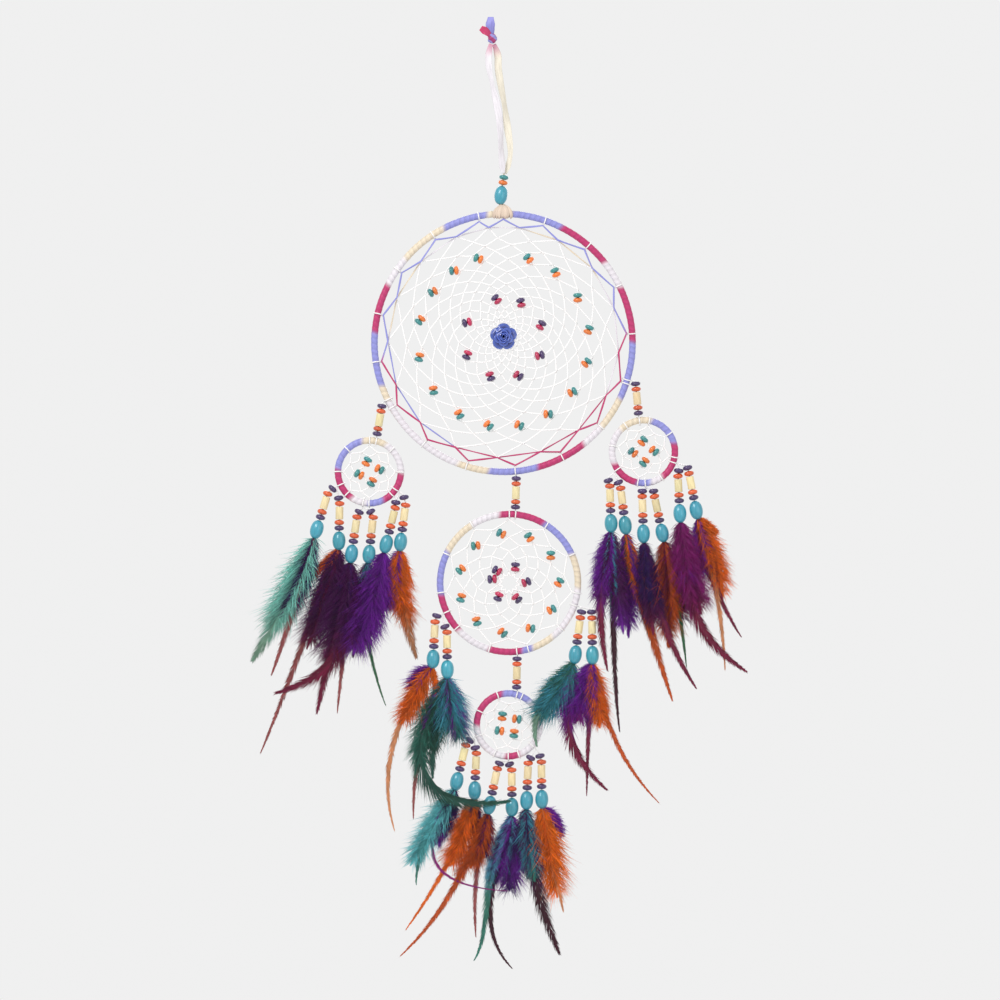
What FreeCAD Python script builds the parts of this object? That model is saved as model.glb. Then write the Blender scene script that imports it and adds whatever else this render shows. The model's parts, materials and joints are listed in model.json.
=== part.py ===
import FreeCAD, Part
import math
import os

os.makedirs("parts", exist_ok=True)
Vector = FreeCAD.Vector

# Frame: the origin is the nail point inside the hanging loop, just under its knot.
# +Z is up, +X is to the right as seen from the front, and the front faces -Y.
# Every hoop lies in the plane y = 0. Clock angles run clockwise from the top, seen from the front.

# Rims: a cane ring inside a tight ribbon wrap
cane_r = 2.0
wrap_inner_r = 2.05
wrap_outer_r = 2.9

# Net thread, and the hitch that holds it to the rim
thread_r = 0.45
hitch_r = wrap_outer_r + 0.05 + thread_r
net_plane_y = 0.5
anchor_inset = hitch_r + 2 * thread_r + 0.15
knot_reach = hitch_r + thread_r + 0.45

# Wooden beads
bore_r = 1.0
disc_r = 4.0
disc_t = 4.15
tube_r = 3.2
tube_len = 10.6
oval_r = 5.5
oval_len = 16.0
net_disc_r = 3.8
net_disc_t = 4.0
bead_gap = 0.05
strand_gap = 0.45

# Feather blades
blade_t = 0.6
blade_rows = 9
blade_spread = 1.0
quill_len = 3.4
quill_r = 0.5


def hoop(x, z, radius, anchors):
    return {"x": x, "z": z, "radius": radius, "anchors": anchors}


large = hoop(8.7, -245.5, 107.1, 17)
medium = hoop(13.3, -444.9, 57.2, 11)
left = hoop(-102.6, -352.6, 26.1, 8)
right = hoop(124.9, -335.8, 26.1, 8)
bottom = hoop(12.6, -562.6, 26.1, 8)


def hoop_point(rim, clock, radius, y=0.0, lift=0.0):
    """Point of a hoop at a clock angle and radius; lift raises the middle of the net."""
    angle = math.radians(clock)
    rise = lift * (1 - radius / rim["radius"])
    return Vector(rim["x"] + radius * math.sin(angle), y,
                  rim["z"] + radius * math.cos(angle) + rise)


# The large net is strung by eye: its thread sits a few degrees off even spacing. Each table is
# (even clock, shift); the first holds at the rim, the second from the outer beads inwards.
rim_drift = [(0, 0.0), (21, -2.5), (64, 0.0), (127, 3.6), (190, 6.0), (296, 8.0), (339, 9.9), (360, 0.0)]
bead_drift = [(0, -6.0), (26, -10.0), (48, -11.0), (90, -7.5), (132, -6.0), (154, -5.0), (217, -7.0), (238, -4.0),
              (259, -1.0), (280, 4.0), (322, 2.0), (344, -1.0), (360, -6.0)]
drift_from = 102.65
drift_to = 71.5


def between(table, clock):
    """Value of a table at a clock angle, straight lines between its rows."""
    clock = clock % 360.0
    for i in range(len(table) - 1):
        low, high = table[i], table[i + 1]
        if low[0] <= clock <= high[0]:
            share = (clock - low[0]) / (high[0] - low[0])
            return low[1] + share * (high[1] - low[1])


def strung(rim, clock, radius):
    """Clock angle at which the net's thread really sits."""
    if rim is not large:
        return clock
    share = min(1.0, max(0.0, (radius - drift_to) / (drift_from - drift_to)))
    return clock + share * between(rim_drift, clock) + (1 - share) * between(bead_drift, clock)


def net_point(rim, clock, radius, y=0.0, lift=0.0):
    return hoop_point(rim, strung(rim, clock, radius), radius, y, lift)


def toward(lean):
    """Unit vector that points down, leaning to +X by lean degrees."""
    return Vector(math.sin(math.radians(lean)), 0, -math.cos(math.radians(lean)))


def export(node, solids):
    shape = solids[0] if len(solids) == 1 else Part.makeCompound(solids)
    shape.exportStep("parts/" + node + ".step")


def rod(start, end, radius):
    return Part.makeCylinder(radius, (end - start).Length, start, end - start)


def rounded_path(points, ratio, closed=False):
    """Straight runs joined by tangent arcs; each arc takes up to ratio of the shorter run."""
    count = len(points)
    corners = range(count) if closed else range(1, count - 1)
    trims = {}
    radii = []
    for i in corners:
        before = points[i - 1] - points[i]
        after = points[(i + 1) % count] - points[i]
        trim = ratio * min(before.Length, after.Length)
        half_turn = (math.pi - before.getAngle(after)) / 2
        trims[i] = trim
        radii.append(trim / math.tan(half_turn))
    edges = []
    for i in range(count if closed else count - 1):
        here = points[i]
        there = points[(i + 1) % count]
        along = (there - here).normalize()
        start = here + along * trims.get(i, 0.0)
        end = there - along * trims.get((i + 1) % count, 0.0)
        edges.append(Part.LineSegment(start, end).toShape())
        if (i + 1) % count in trims:
            j = (i + 1) % count
            onward = (points[(j + 1) % count] - points[j]).normalize()
            leave = points[j] + onward * trims[j]
            bisector = (onward - along).normalize()
            half_turn = (math.pi - (-along).getAngle(onward)) / 2
            radius = trims[j] / math.tan(half_turn)
            middle = points[j] + bisector * (radius / math.cos(half_turn) - radius)
            edges.append(Part.Arc(end, middle, leave).toShape())
    return Part.Wire(edges), radii


def sweep(path, radius):
    """Round tube along a path of tangent lines and arcs."""
    first = path.Edges[0]
    start = first.valueAt(first.FirstParameter)
    direction = first.tangentAt(first.FirstParameter)
    section = Part.Wire([Part.makeCircle(radius, start, direction)])
    return path.makePipeShell([section], True, False)


def ring(centre, axis, major, minor):
    return Part.makeTorus(major, minor, centre, axis)


# Beads

def bead(centre, axis, profile):
    """Turned bead about an axis; the profile is a closed list of edges in the XZ plane."""
    solid = Part.Face(Part.Wire(profile)).revolve(Vector(0, 0, 0), Vector(0, 0, 1), 360)
    turn = FreeCAD.Rotation(Vector(0, 0, 1), axis)
    solid.Placement = FreeCAD.Placement(centre, turn)
    return solid


def oval_profile(radius, half_length):
    """Half of an ellipse, cut by the bore."""
    edge_z = half_length * math.sqrt(1 - (bore_r / radius) ** 2)
    low = Vector(bore_r, 0, -edge_z)
    high = Vector(bore_r, 0, edge_z)
    curve = Part.Ellipse(Vector(0, 0, half_length), Vector(radius, 0, 0), Vector(0, 0, 0))
    ends = [curve.parameter(low), curve.parameter(high)]
    sides = [Part.ArcOfEllipse(curve, ends[0], ends[1]), Part.ArcOfEllipse(curve, ends[1], ends[0])]
    outer = max(sides, key=lambda side: side.value((side.FirstParameter + side.LastParameter) / 2).x)
    return [outer.toShape(), Part.LineSegment(low, high).toShape()]


def disc_profile(radius, half_height):
    """Domed faces whose centres lie on the axis, joined by a round edge."""
    edge_r = 0.72 * half_height
    reach = radius - edge_r
    gap = half_height - edge_r
    depth = (reach ** 2 - gap ** 2) / (2 * gap)
    dome_r = depth + half_height
    stretch = dome_r / (dome_r - edge_r)
    join = Vector(reach * stretch, 0, depth * stretch - depth)
    mouth = Vector(bore_r, 0, math.sqrt(dome_r ** 2 - bore_r ** 2) - depth)
    half_x = (join.x + mouth.x) / 2
    crown = Vector(half_x, 0, math.sqrt(dome_r ** 2 - half_x ** 2) - depth)
    flip = FreeCAD.Matrix(1, 0, 0, 0, 0, 1, 0, 0, 0, 0, -1, 0)
    top = Part.Arc(mouth, crown, join).toShape()
    edge = Part.Arc(join, Vector(radius, 0, 0), flip * join).toShape()
    bottom = Part.Arc(flip * join, flip * crown, flip * mouth).toShape()
    return [top, edge, bottom, Part.LineSegment(flip * mouth, mouth).toShape()]


def disc(centre, axis, radius=disc_r, thickness=disc_t):
    return bead(centre, axis, disc_profile(radius, thickness / 2))


def oval(centre, axis):
    return bead(centre, axis, oval_profile(oval_r, oval_len / 2))


def tube(centre, axis):
    half = tube_len / 2
    corners = [Vector(bore_r, 0, -half), Vector(tube_r, 0, -half),
               Vector(tube_r, 0, half), Vector(bore_r, 0, half)]
    return bead(centre, axis, Part.makePolygon(corners + corners[:1]).Edges)


# Hanging loop: two flat ribbons from the knot to the first bead

ribbon_tube_r = 1.5
ribbon_y = 1.75
knot_r = 4.6
knot_centre = Vector(-0.6, 0, 7.0)
left_route = [(-1.7, 2.4), (-4.2, -6.5), (-3.4, -18.5), (0.5, -36.0),
              (4.6, -53.0), (6.2, -70.0), (6.6, -88.0), (8.3, -104.9)]
right_route = [(0.9, 2.4), (4.6, -6.3), (3.9, -16.0), (6.5, -32.0), (9.6, -48.0),
               (12.0, -67.0), (14.8, -85.0), (13.4, -97.0), (9.9, -104.9)]
penny_tail = [(-1.5, 10.0), (-7.6, 14.6), (-12.2, 14.8), (-8.8, 20.4), (-5.4, 22.6), (0.0, 11.0)]
sky_tail = [(-1.8, 10.5), (-5.6, 22.8), (-2.4, 24.9), (0.8, 24.4), (0.9, 10.5)]
tail_t = 0.8


def hanging_ribbon(node, route, y):
    points = [Vector(x, y, z) for x, z in route]
    path, radii = rounded_path(points, 0.45)
    solid = sweep(path, ribbon_tube_r)
    expected = math.pi * ribbon_tube_r ** 2 * path.Length
    print(node, "length", round(path.Length, 1), "smallest radius", round(min(radii), 1),
          "volume ratio", round(solid.Volume / expected, 4))
    export(node, [solid])


def plate(outline, y, thickness):
    corners = [Vector(x, y - thickness / 2, z) for x, z in outline]
    face = Part.Face(Part.makePolygon(corners + corners[:1]))
    return face.extrude(Vector(0, thickness, 0))


def hanging_loop():
    hanging_ribbon("hanging_ribbon_left", left_route, -ribbon_y)
    hanging_ribbon("hanging_ribbon_right", right_route, ribbon_y)
    ball = Part.makeSphere(knot_r, knot_centre)
    export("ribbon_knot", [ball])
    tails = [plate(penny_tail, -tail_t, tail_t), plate(sky_tail, tail_t, tail_t)]
    export("ribbon_tails", [tail.cut(ball) for tail in tails])


# Beads between the loop and the large hoop, on one cord

hanger_disc_r = 3.9
cord_r = 0.8
teal_centre = Vector(9.0, 0, -108.2)
orange_centre = Vector(8.3, 0, -112.6)
hanger_oval_centre = Vector(6.6, 0, -123.0)
hanger_oval_lean = -9.0


def hanger_beads():
    axis = (orange_centre - teal_centre).normalize()
    export("hanger_teal_disc", [disc(teal_centre, axis, hanger_disc_r)])
    cord = rod(teal_centre - axis * 1.8, orange_centre + axis * 1.8, cord_r)
    export("hanger_orange_disc", [disc(orange_centre, axis, hanger_disc_r), cord])
    lean = toward(hanger_oval_lean)
    reach = oval_len / 2 - 0.3
    core = rod(hanger_oval_centre - lean * reach, hanger_oval_centre + lean * reach, cord_r)
    export("hanger_oval_bead", [oval(hanger_oval_centre, lean), core])


# Rims

def rim_parts(name, rim):
    centre = Vector(rim["x"], 0, rim["z"])
    front = Vector(0, -1, 0)
    export(name + "_ring", [ring(centre, front, rim["radius"], cane_r)])
    wrap = ring(centre, front, rim["radius"], wrap_outer_r)
    export(name + "_wrap", [wrap.cut(ring(centre, front, rim["radius"], wrap_inner_r))])


def hitch(rim, clock):
    angle = math.radians(clock)
    along_rim = Vector(math.cos(angle), 0, -math.sin(angle))
    return ring(hoop_point(rim, clock, rim["radius"]), along_rim, hitch_r, thread_r)


# Nets: each round is a zigzag whose inner points sit half a step on from its outer points

corner_trim = 1.3


def net_round(points, radius):
    """Closed thread through the points, with a small tangent arc at each."""
    run = min((points[i] - points[i - 1]).Length for i in range(len(points)))
    path, _ = rounded_path(points, min(0.45, corner_trim / run), closed=True)
    return sweep(path, radius)


def zigzag(rim, outer, inner, first_clock, y, radius, lift, count=None):
    count = count or rim["anchors"]
    step = 360.0 / count
    points = []
    for i in range(count):
        points.append(net_point(rim, first_clock + i * step, outer, y, lift))
        points.append(net_point(rim, first_clock + (i + 0.5) * step, inner, y, lift))
    return net_round(points, radius)


def net(name, rim, levels, ties, lift=0.0, bare=None):
    """One thread round per pair of neighbouring levels, on two planes in turn, and all the hitches."""
    step = 360.0 / rim["anchors"]
    solids = []
    for i in range(len(levels) - 1):
        y = net_plane_y if i % 2 else -net_plane_y
        solids.append(zigzag(rim, levels[i], levels[i + 1], i * step / 2, y, thread_r, lift))
    clocks = [strung(rim, i * step, levels[0]) for i in range(rim["anchors"]) if i * step != bare]
    clear = 360.0 * (2 * thread_r + 0.2) / (2 * math.pi * (rim["radius"] - hitch_r))
    for tie in ties:
        if min(abs((tie - clock + 180) % 360 - 180) for clock in clocks) > clear:
            clocks.append(tie)
    solids += [hitch(rim, clock) for clock in clocks]
    export(name + "_web", solids)


def bead_pair(rim, outer_clock, outer, inner, turn, y, lift):
    """Two discs side by side at the middle of one span of the net."""
    step = turn * 180.0 / rim["anchors"]
    start = net_point(rim, outer_clock, outer, y, lift)
    end = net_point(rim, outer_clock + step, inner, y, lift)
    along = (end - start).normalize()
    middle = (start + end) * 0.5
    offset = (net_disc_t + bead_gap) / 2
    return [disc(middle + along * side * offset, along, net_disc_r, net_disc_t) for side in (-1, 1)]


large_lift = 5.0
large_levels = [86.0, 80.5, 75.0, 68.0, 62.0, 56.5, 51.0, 46.0, 41.5, 37.0, 29.5, 24.5, 20.0, 16.0, 12.5, 9.5]
lace_outer = large["radius"] - hitch_r - thread_r - 0.95
lace_inner = 95.9
lace_r = 0.8
lace_front_y = -2.0
lace_back_y = 2.0
large_anchor = large["radius"] - anchor_inset
medium_levels = [medium["radius"] - anchor_inset, 46.0, 38.0, 32.0, 26.5, 20.0, 9.0, 6.0]
small_levels = [left["radius"] - anchor_inset, 17.4, 12.6]
star_outer = 12.6
star_inner = 6.0
star_count = 4


def large_net_parts():
    step = 360.0 / large["anchors"]
    levels = [large_anchor, lace_inner] + large_levels
    net("large", large, levels, [243.7, 106.6, 174.3], large_lift, bare=0.0)
    front = zigzag(large, lace_outer, lace_inner, 0.0, lace_front_y, lace_r, large_lift)
    corners = [net_point(large, (i + 0.5) * step, lace_inner, lace_back_y, large_lift)
               for i in range(large["anchors"])]
    export("large_lace", [front, net_round(corners, lace_r)])
    outer_round = levels.index(75.0)
    inner_round = levels.index(37.0)
    outer_beads = []
    for i in range(1, large["anchors"]):
        clock = outer_round * step / 2 + (i - 2) * step
        outer_beads += bead_pair(large, clock, levels[outer_round], levels[outer_round + 1], 1,
                                 plane_of(outer_round), large_lift)
    export("large_outer_beads", outer_beads)
    inner_beads = []
    for i in range(8):
        clock = inner_round * step / 2 + round(i * large["anchors"] / 8) * step
        inner_beads += bead_pair(large, clock, levels[inner_round], levels[inner_round + 1], 1,
                                 plane_of(inner_round), large_lift)
    export("large_inner_beads", inner_beads)


def plane_of(level_index):
    return net_plane_y if level_index % 2 else -net_plane_y


def medium_net_parts():
    step = 360.0 / medium["anchors"]
    net("medium", medium, medium_levels, [5.2, 173.3, 244.9, 108.5])
    outer_beads = []
    for i in range(medium["anchors"]):
        outer_beads += bead_pair(medium, (i + 0.5) * step, 46.0, 38.0, 1, plane_of(1), 0.0)
    export("medium_outer_beads", outer_beads)
    inner_round = medium_levels.index(20.0)
    inner_beads = []
    for i in range(6):
        clock = inner_round * step / 2 + round(i * medium["anchors"] / 6) * step
        inner_beads += bead_pair(medium, clock, 20.0, 9.0, 1, plane_of(inner_round), 0.0)
    export("medium_inner_beads", inner_beads)


def small_net_parts(name, rim, ties, first_clock):
    """Two rounds of eight, then a four-pointed star that carries the bead pairs."""
    step = 360.0 / rim["anchors"]
    solids = []
    for i in range(len(small_levels) - 1):
        solids.append(zigzag(rim, small_levels[i], small_levels[i + 1],
                             first_clock + i * step / 2, plane_of(i), thread_r, 0.0))
    solids.append(zigzag(rim, star_outer, star_inner, first_clock, plane_of(2), thread_r, 0.0, star_count))
    clocks = [first_clock + i * step for i in range(rim["anchors"])]
    for tie in ties:
        if min(abs((tie - clock + 180) % 360 - 180) for clock in clocks) > 3.5:
            clocks.append(tie)
    export(name + "_web", solids + [hitch(rim, clock) for clock in clocks])
    beads = []
    for i in range(star_count):
        start = hoop_point(rim, first_clock + i * 90.0, star_outer, plane_of(2))
        end = hoop_point(rim, first_clock + i * 90.0 - 45.0, star_inner, plane_of(2))
        along = (end - start).normalize()
        offset = (net_disc_t + bead_gap) / 2
        middle = (start + end) * 0.5
        beads.append(disc(middle - along * offset, along, net_disc_r, net_disc_t))
        beads.append(disc(middle + along * offset, along, net_disc_r, net_disc_t))
    export(name + "_web_beads", beads)


# Rose at the middle of the large net

rose_petals = 5
petal_r = 5.2
petal_offset = 5.3
rose_back_y = -1.05
petal_depth = 3.6
bud_r = 4.4
bud_depth = 7.0


def rose():
    centre = hoop_point(large, 0.0, 0.0, rose_back_y, large_lift)
    front = Vector(0, -1, 0)
    solid = Part.makeCylinder(bud_r, bud_depth, centre, front)
    for i in range(rose_petals):
        angle = math.radians(360.0 * i / rose_petals)
        spot = centre + Vector(math.sin(angle), 0, math.cos(angle)) * petal_offset
        solid = solid.fuse(Part.makeCylinder(petal_r, petal_depth, spot, front))
    export("rose", [solid.removeSplitter()])


# Ribbon tie that holds the large hoop to its cord: turns about the rim under a fan in front and behind

bow_wrap_r = 3.6
bow_wrap_t = 0.6
bow_wraps = 5
bow_fan_t = 0.8
bow_knot_r = 1.7
bow_fan = [(-1.8, 7.0), (1.8, 7.0), (8.0, 3.4), (8.0, -3.0), (-9.0, -3.0), (-9.0, 3.4)]


def bow():
    wraps = []
    for i in range(bow_wraps):
        clock = (i - (bow_wraps - 1) / 2) * 0.72
        angle = math.radians(clock)
        along_rim = Vector(math.cos(angle), 0, -math.sin(angle))
        wraps.append(ring(hoop_point(large, clock, large["radius"]), along_rim, bow_wrap_r, bow_wrap_t))
    top = hoop_point(large, 0.0, large["radius"])
    knot = Part.makeSphere(bow_knot_r, top + Vector(0, 0, bow_wrap_r + bow_wrap_t + bow_knot_r))
    corners = [(top.x + x, top.z + z) for x, z in bow_fan]
    reach = bow_wrap_r + bow_wrap_t + 0.05 + bow_fan_t / 2
    fans = [plate(corners, -reach, bow_fan_t), plate(corners, reach, bow_fan_t)]
    export("large_bow", wraps + [knot] + fans)


thread_entry = disc_t / 2 - 0.03


def thread_along(points):
    """Straight pieces of thread with a ball at each bend and at its start."""
    solid = Part.makeSphere(thread_r, points[0])
    for i in range(len(points) - 1):
        solid = solid.fuse(rod(points[i], points[i + 1], thread_r))
        if i < len(points) - 2:
            solid = solid.fuse(Part.makeSphere(thread_r, points[i + 1]))
    return solid


# Bead strings between hoops

disc_pitch = disc_t + bead_gap
tube_pitch = (disc_t + tube_len) / 2 + bead_gap
rim_to_bead = hitch_r + thread_r + 0.15 + disc_t / 2


def connector(name, upper, upper_clock, first_offset, lower, lower_clock):
    """Disc, disc, tube, disc, disc on one thread from the upper rim to the lower rim."""
    start = hoop_point(upper, upper_clock, upper["radius"])
    finish = hoop_point(lower, lower_clock, lower["radius"])
    first = start + Vector(first_offset[0], 0, first_offset[1])
    along = (finish - first).normalize()
    spare = (finish - first).Length - rim_to_bead - 2 * disc_pitch - 2 * tube_pitch
    print(name, "spare thread", round(spare, 2))
    pitches = [0.0, disc_pitch, tube_pitch, tube_pitch, disc_pitch]
    makers = [disc, disc, tube, disc, disc]
    spot = first
    solids = []
    for i in range(len(makers)):
        spot = spot + along * (pitches[i] + (spare / 4 if i else 0.0))
        solids.append(makers[i](spot, along))
    knot = hoop_point(upper, upper_clock, upper["radius"] + knot_reach)
    end = finish - along * (hitch_r + thread_r + 0.1)
    if first_offset[0]:
        cord = thread_along([knot, first - along * (disc_t / 2 + thread_r), end])
    else:
        cord = rod(first - along * thread_entry, end, thread_r)
    export(name + "_beads", solids + [cord])


# Tassels: two strands tied to one point of a rim, with feathers in the last bead

column_steps = [0.0, tube_pitch + strand_gap, 2 * (tube_pitch + strand_gap)]
column_steps.append(column_steps[2] + disc_pitch + strand_gap)
column_steps.append(column_steps[3] + disc_t / 2 + strand_gap + oval_len / 2)
quill_start = oval_len / 2 - 4.0


def strand_solids(rim, first, second, lean):
    """Top disc on its own slanted span, then disc, tube, disc, disc and oval down a straight column."""
    top = Vector(rim["x"] + first[0], 0, rim["z"] + first[1])
    head = Vector(rim["x"] + second[0], 0, rim["z"] + second[1])
    down = toward(lean)
    slant = (head - top).normalize()
    spots = [head + down * step for step in column_steps]
    beads = [disc(top, slant), disc(spots[0], down), tube(spots[1], down),
             disc(spots[2], down), disc(spots[3], down), oval(spots[4], down)]
    bend = head - down * (disc_t * 0.45)
    end = spots[4] + down * quill_start
    entry = top - slant * thread_entry
    return beads, [entry, bend, end], down, spots[4]


def blade(root, down, tip, half_width, bow_out, layer, tilt):
    """Flat feather: a curved midrib from the bead to the tip, widest at a third of its length."""
    side_a = []
    side_b = []
    for i in range(blade_rows + 1):
        t = i / blade_rows
        mid_x = tip[0] * t + bow_out * 4 * t * (1 - t)
        mid_z = tip[1] * t
        width = quill_r + half_width * math.sin(math.pi * t ** 0.75) ** 1.1
        width = width if i < blade_rows else 0.3
        side_a.append((mid_x - width, mid_z))
        side_b.append((mid_x + width, mid_z))
    outline = side_a + side_b[::-1]
    if layer == 0:
        quill = down * -quill_len
        outline = [(quill.x - quill_r, quill.z)] + outline + [(quill.x + quill_r, quill.z)]
    corners = [Vector(x, layer * blade_t - blade_t / 2, z) for x, z in outline]
    solid = Part.Face(Part.makePolygon(corners + corners[:1])).extrude(Vector(0, blade_t, 0))
    solid.rotate(Vector(0, 0, 0), Vector(1, 0, 0), tilt)
    solid.translate(root)
    return solid


def tassel(name, rim, clock, strands):
    knot = hoop_point(rim, clock, rim["radius"] + knot_reach)
    cords = None
    beads = []
    blades = []
    for first, second, lean, tilt, feathers in strands:
        parts, route, down, last = strand_solids(rim, first, second, lean)
        beads += parts
        cord = thread_along([knot] + route)
        cords = cord if cords is None else cords.fuse(cord)
        root = last + down * (oval_len / 2 - 0.05)
        for i in range(len(feathers)):
            tip_x, tip_z, half_width, bow_out = feathers[i]
            layer = (0, -1, 1)[i]
            blades.append(blade(root, down, (tip_x, tip_z), half_width, bow_out, layer,
                                tilt + layer * blade_spread))
    export(name + "_beads", beads + [cords])
    export(name + "_feathers", blades)


# Each strand: top disc and column head from the hoop's centre, lean of the column, tilt of its
# feathers out of the plane, then the feathers as (tip x, tip z, half width, bow).
front_tilt = -3.0
back_tilt = 3.0
lap_tilt = -6.5

tassels = [
    ("left_tassel_1", left, 245.4, [
        ((-30.6, -14.0), (-34.6, -18.2), -17.0, front_tilt, [(-52, -101, 10, -4), (-40, -100, 4, 3)]),
        ((-25.5, -21.7), (-24.7, -26.3), -1.0, back_tilt, [(-66, -172, 5, 8), (-40, -74, 9, 2)])]),
    ("left_tassel_2", left, 191.0, [
        ((-8.4, -33.2), (-10.3, -37.5), -8.4, front_tilt, [(-28, -126, 9, -6), (-64, -104, 8, 10), (-8, -125, 5, 0)]),
        ((1.1, -33.0), (3.2, -37.6), -6.5, back_tilt, [(14, -114, 4, -5), (-8, -42, 5, 0)])]),
    ("left_tassel_3", left, 123.6, [
        ((21.9, -25.4), (21.4, -29.9), -14.0, front_tilt, [(-9, -76, 11, 2)]),
        ((28.8, -21.2), (30.1, -27.6), -7.8, back_tilt, [(13, -89, 8, 2), (12, -28, 3, 1)])]),
    ("right_tassel_1", right, 234.5, [
        ((-29.2, -24.0), (-28.0, -28.6), 2.0, front_tilt, [(6, -138, 5, 0), (-3, -116, 7, -3), (-11, -48, 7, 0)]),
        ((-20.8, -25.6), (-18.9, -30.4), 7.0, back_tilt, [(36, -142, 6, 4), (0, -88, 8, 0)])]),
    ("right_tassel_2", right, 176.4, [
        ((-1.0, -32.8), (-1.1, -37.2), 2.0, front_tilt, [(44, -122, 6, -4), (15, -70, 9, 0)]),
        ((8.4, -32.8), (9.1, -37.2), 12.0, back_tilt, [(17, -104, 3, 0), (9, -68, 8, 0)])]),
    ("right_tassel_3", right, 109.5, [
        ((29.2, -15.9), (28.6, -20.4), 3.0, front_tilt, [(54, -126, 7, -8), (7, -62, 9, 0)]),
        ((36.6, -13.4), (37.8, -18.2), 11.0, back_tilt, [(35, -98, 6, -3), (22, -125, 3, 2), (11, -50, 8, 0)])]),
    ("medium_tassel_1", medium, 244.9, [
        ((-60.0, -27.2), (-61.4, -32.2), -3.0, lap_tilt, [(-30, -138, 4, -4), (-32, -38, 8, 0)]),
        ((-53.2, -36.2), (-51.5, -40.8), 0.5, lap_tilt, [(-24, -52, 9, 0), (-26, -86, 6, -2)])]),
    ("medium_tassel_2", medium, 108.5, [
        ((60.2, -24.0), (59.2, -28.8), -7.8, lap_tilt, [(-17, -40, 6, 0)]),
        ((68.6, -24.0), (68.9, -29.0), 0.6, lap_tilt, [(57, -118, 5, -5), (12, -106, 6, 3), (-4, -110, 4, 2)])]),
    ("bottom_tassel_1", bottom, 247.7, [
        ((-32.0, -12.8), (-35.2, -16.8), -14.0, front_tilt, [(-31, -76, 6, -5), (-39, -54, 8, 0)]),
        ((-27.3, -19.0), (-26.4, -23.6), -2.6, back_tilt, [(-57, -110, 5, 3), (-22, -60, 9, 0)])]),
    ("bottom_tassel_2", bottom, 179.4, [
        ((-7.3, -32.0), (-9.0, -36.4), -12.0, front_tilt, [(-72, -119, 4, 3), (-15, -46, 8, 0)]),
        ((1.1, -32.8), (2.9, -37.4), 0.5, back_tilt, [(4, -131, 8, 0), (-29, -124, 4, 3)])]),
    ("bottom_tassel_3", bottom, 129.9, [
        ((18.6, -27.4), (16.6, -31.8), -2.4, front_tilt, [(26, -121, 6, -3), (3, -60, 8, 0)]),
        ((26.4, -25.8), (27.6, -30.8), 0.5, back_tilt, [(17, -88, 10, 0), (23, -96, 3, 3)])]),
]

hanging_loop()
hanger_beads()
for hoop_name, rim_dims in [("large", large), ("medium", medium), ("left", left), ("right", right), ("bottom", bottom)]:
    rim_parts(hoop_name, rim_dims)
large_net_parts()
medium_net_parts()
small_net_parts("left", left, [12.0, 245.4, 191.0, 123.6], 0.0)
small_net_parts("right", right, [351.9, 234.5, 176.4, 109.5], 10.0)
small_net_parts("bottom", bottom, [15.3, 247.7, 179.4, 129.9], -20.0)
rose()
bow()
connector("left_connector", large, 243.7, (-4.9, -5.1), left, 12.0)
connector("right_connector", large, 106.6, (7.0, -3.4), right, 351.9)
connector("medium_connector", large, 174.3, (0.0, -rim_to_bead), medium, 5.2)
connector("bottom_connector", medium, 173.3, (0.0, -rim_to_bead), bottom, 15.3)
for tassel_name, rim_dims, tie_clock, strand_list in tassels:
    tassel(tassel_name, rim_dims, tie_clock, strand_list)
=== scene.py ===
import json
import math
import bpy
import numpy as np
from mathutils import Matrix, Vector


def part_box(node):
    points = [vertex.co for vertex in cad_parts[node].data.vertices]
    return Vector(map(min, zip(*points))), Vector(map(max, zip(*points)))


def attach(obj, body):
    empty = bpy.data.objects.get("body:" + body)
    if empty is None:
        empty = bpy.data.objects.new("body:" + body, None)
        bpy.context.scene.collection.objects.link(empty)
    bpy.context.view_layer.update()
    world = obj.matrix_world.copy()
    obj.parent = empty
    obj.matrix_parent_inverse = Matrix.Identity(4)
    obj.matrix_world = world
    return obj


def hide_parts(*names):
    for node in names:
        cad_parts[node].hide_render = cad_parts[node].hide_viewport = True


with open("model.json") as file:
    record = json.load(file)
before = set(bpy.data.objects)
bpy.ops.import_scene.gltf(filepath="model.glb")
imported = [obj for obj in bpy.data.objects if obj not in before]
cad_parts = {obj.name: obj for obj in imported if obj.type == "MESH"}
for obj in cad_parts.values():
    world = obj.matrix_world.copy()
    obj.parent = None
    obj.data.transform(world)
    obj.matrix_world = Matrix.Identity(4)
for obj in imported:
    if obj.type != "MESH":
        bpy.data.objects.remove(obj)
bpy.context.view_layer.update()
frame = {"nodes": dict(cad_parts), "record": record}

mm = 0.001
full = 2 * math.pi
depthWay = np.array([0.0, 1.0, 0.0])
nodeBody = {node: body for body, nodes in frame["record"]["behaviour"]["bodies"].items() for node in nodes}
chance = np.random.default_rng(21)
studioDim = 0.84  # the studio's light is a little over 1, so colours are kept a little under their own


def dye(red, green, blue):
    # display colour 0-255 to the linear value the shader takes
    share = np.array([red, green, blue]) / 255
    return studioDim * np.where(share <= 0.04045, share / 12.92, ((share + 0.055) / 1.055) ** 2.4)


def unit(rows):
    # every row divided by its own length
    return rows / np.maximum(np.linalg.norm(rows, axis=-1, keepdims=True), 1e-12)


def smooth(low, high, value):
    # 0 below low, 1 above high, and 3s^2 - 2s^3 in between
    s = np.clip((value - low) / (high - low), 0, 1)
    return s * s * (3 - 2 * s)


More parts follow.
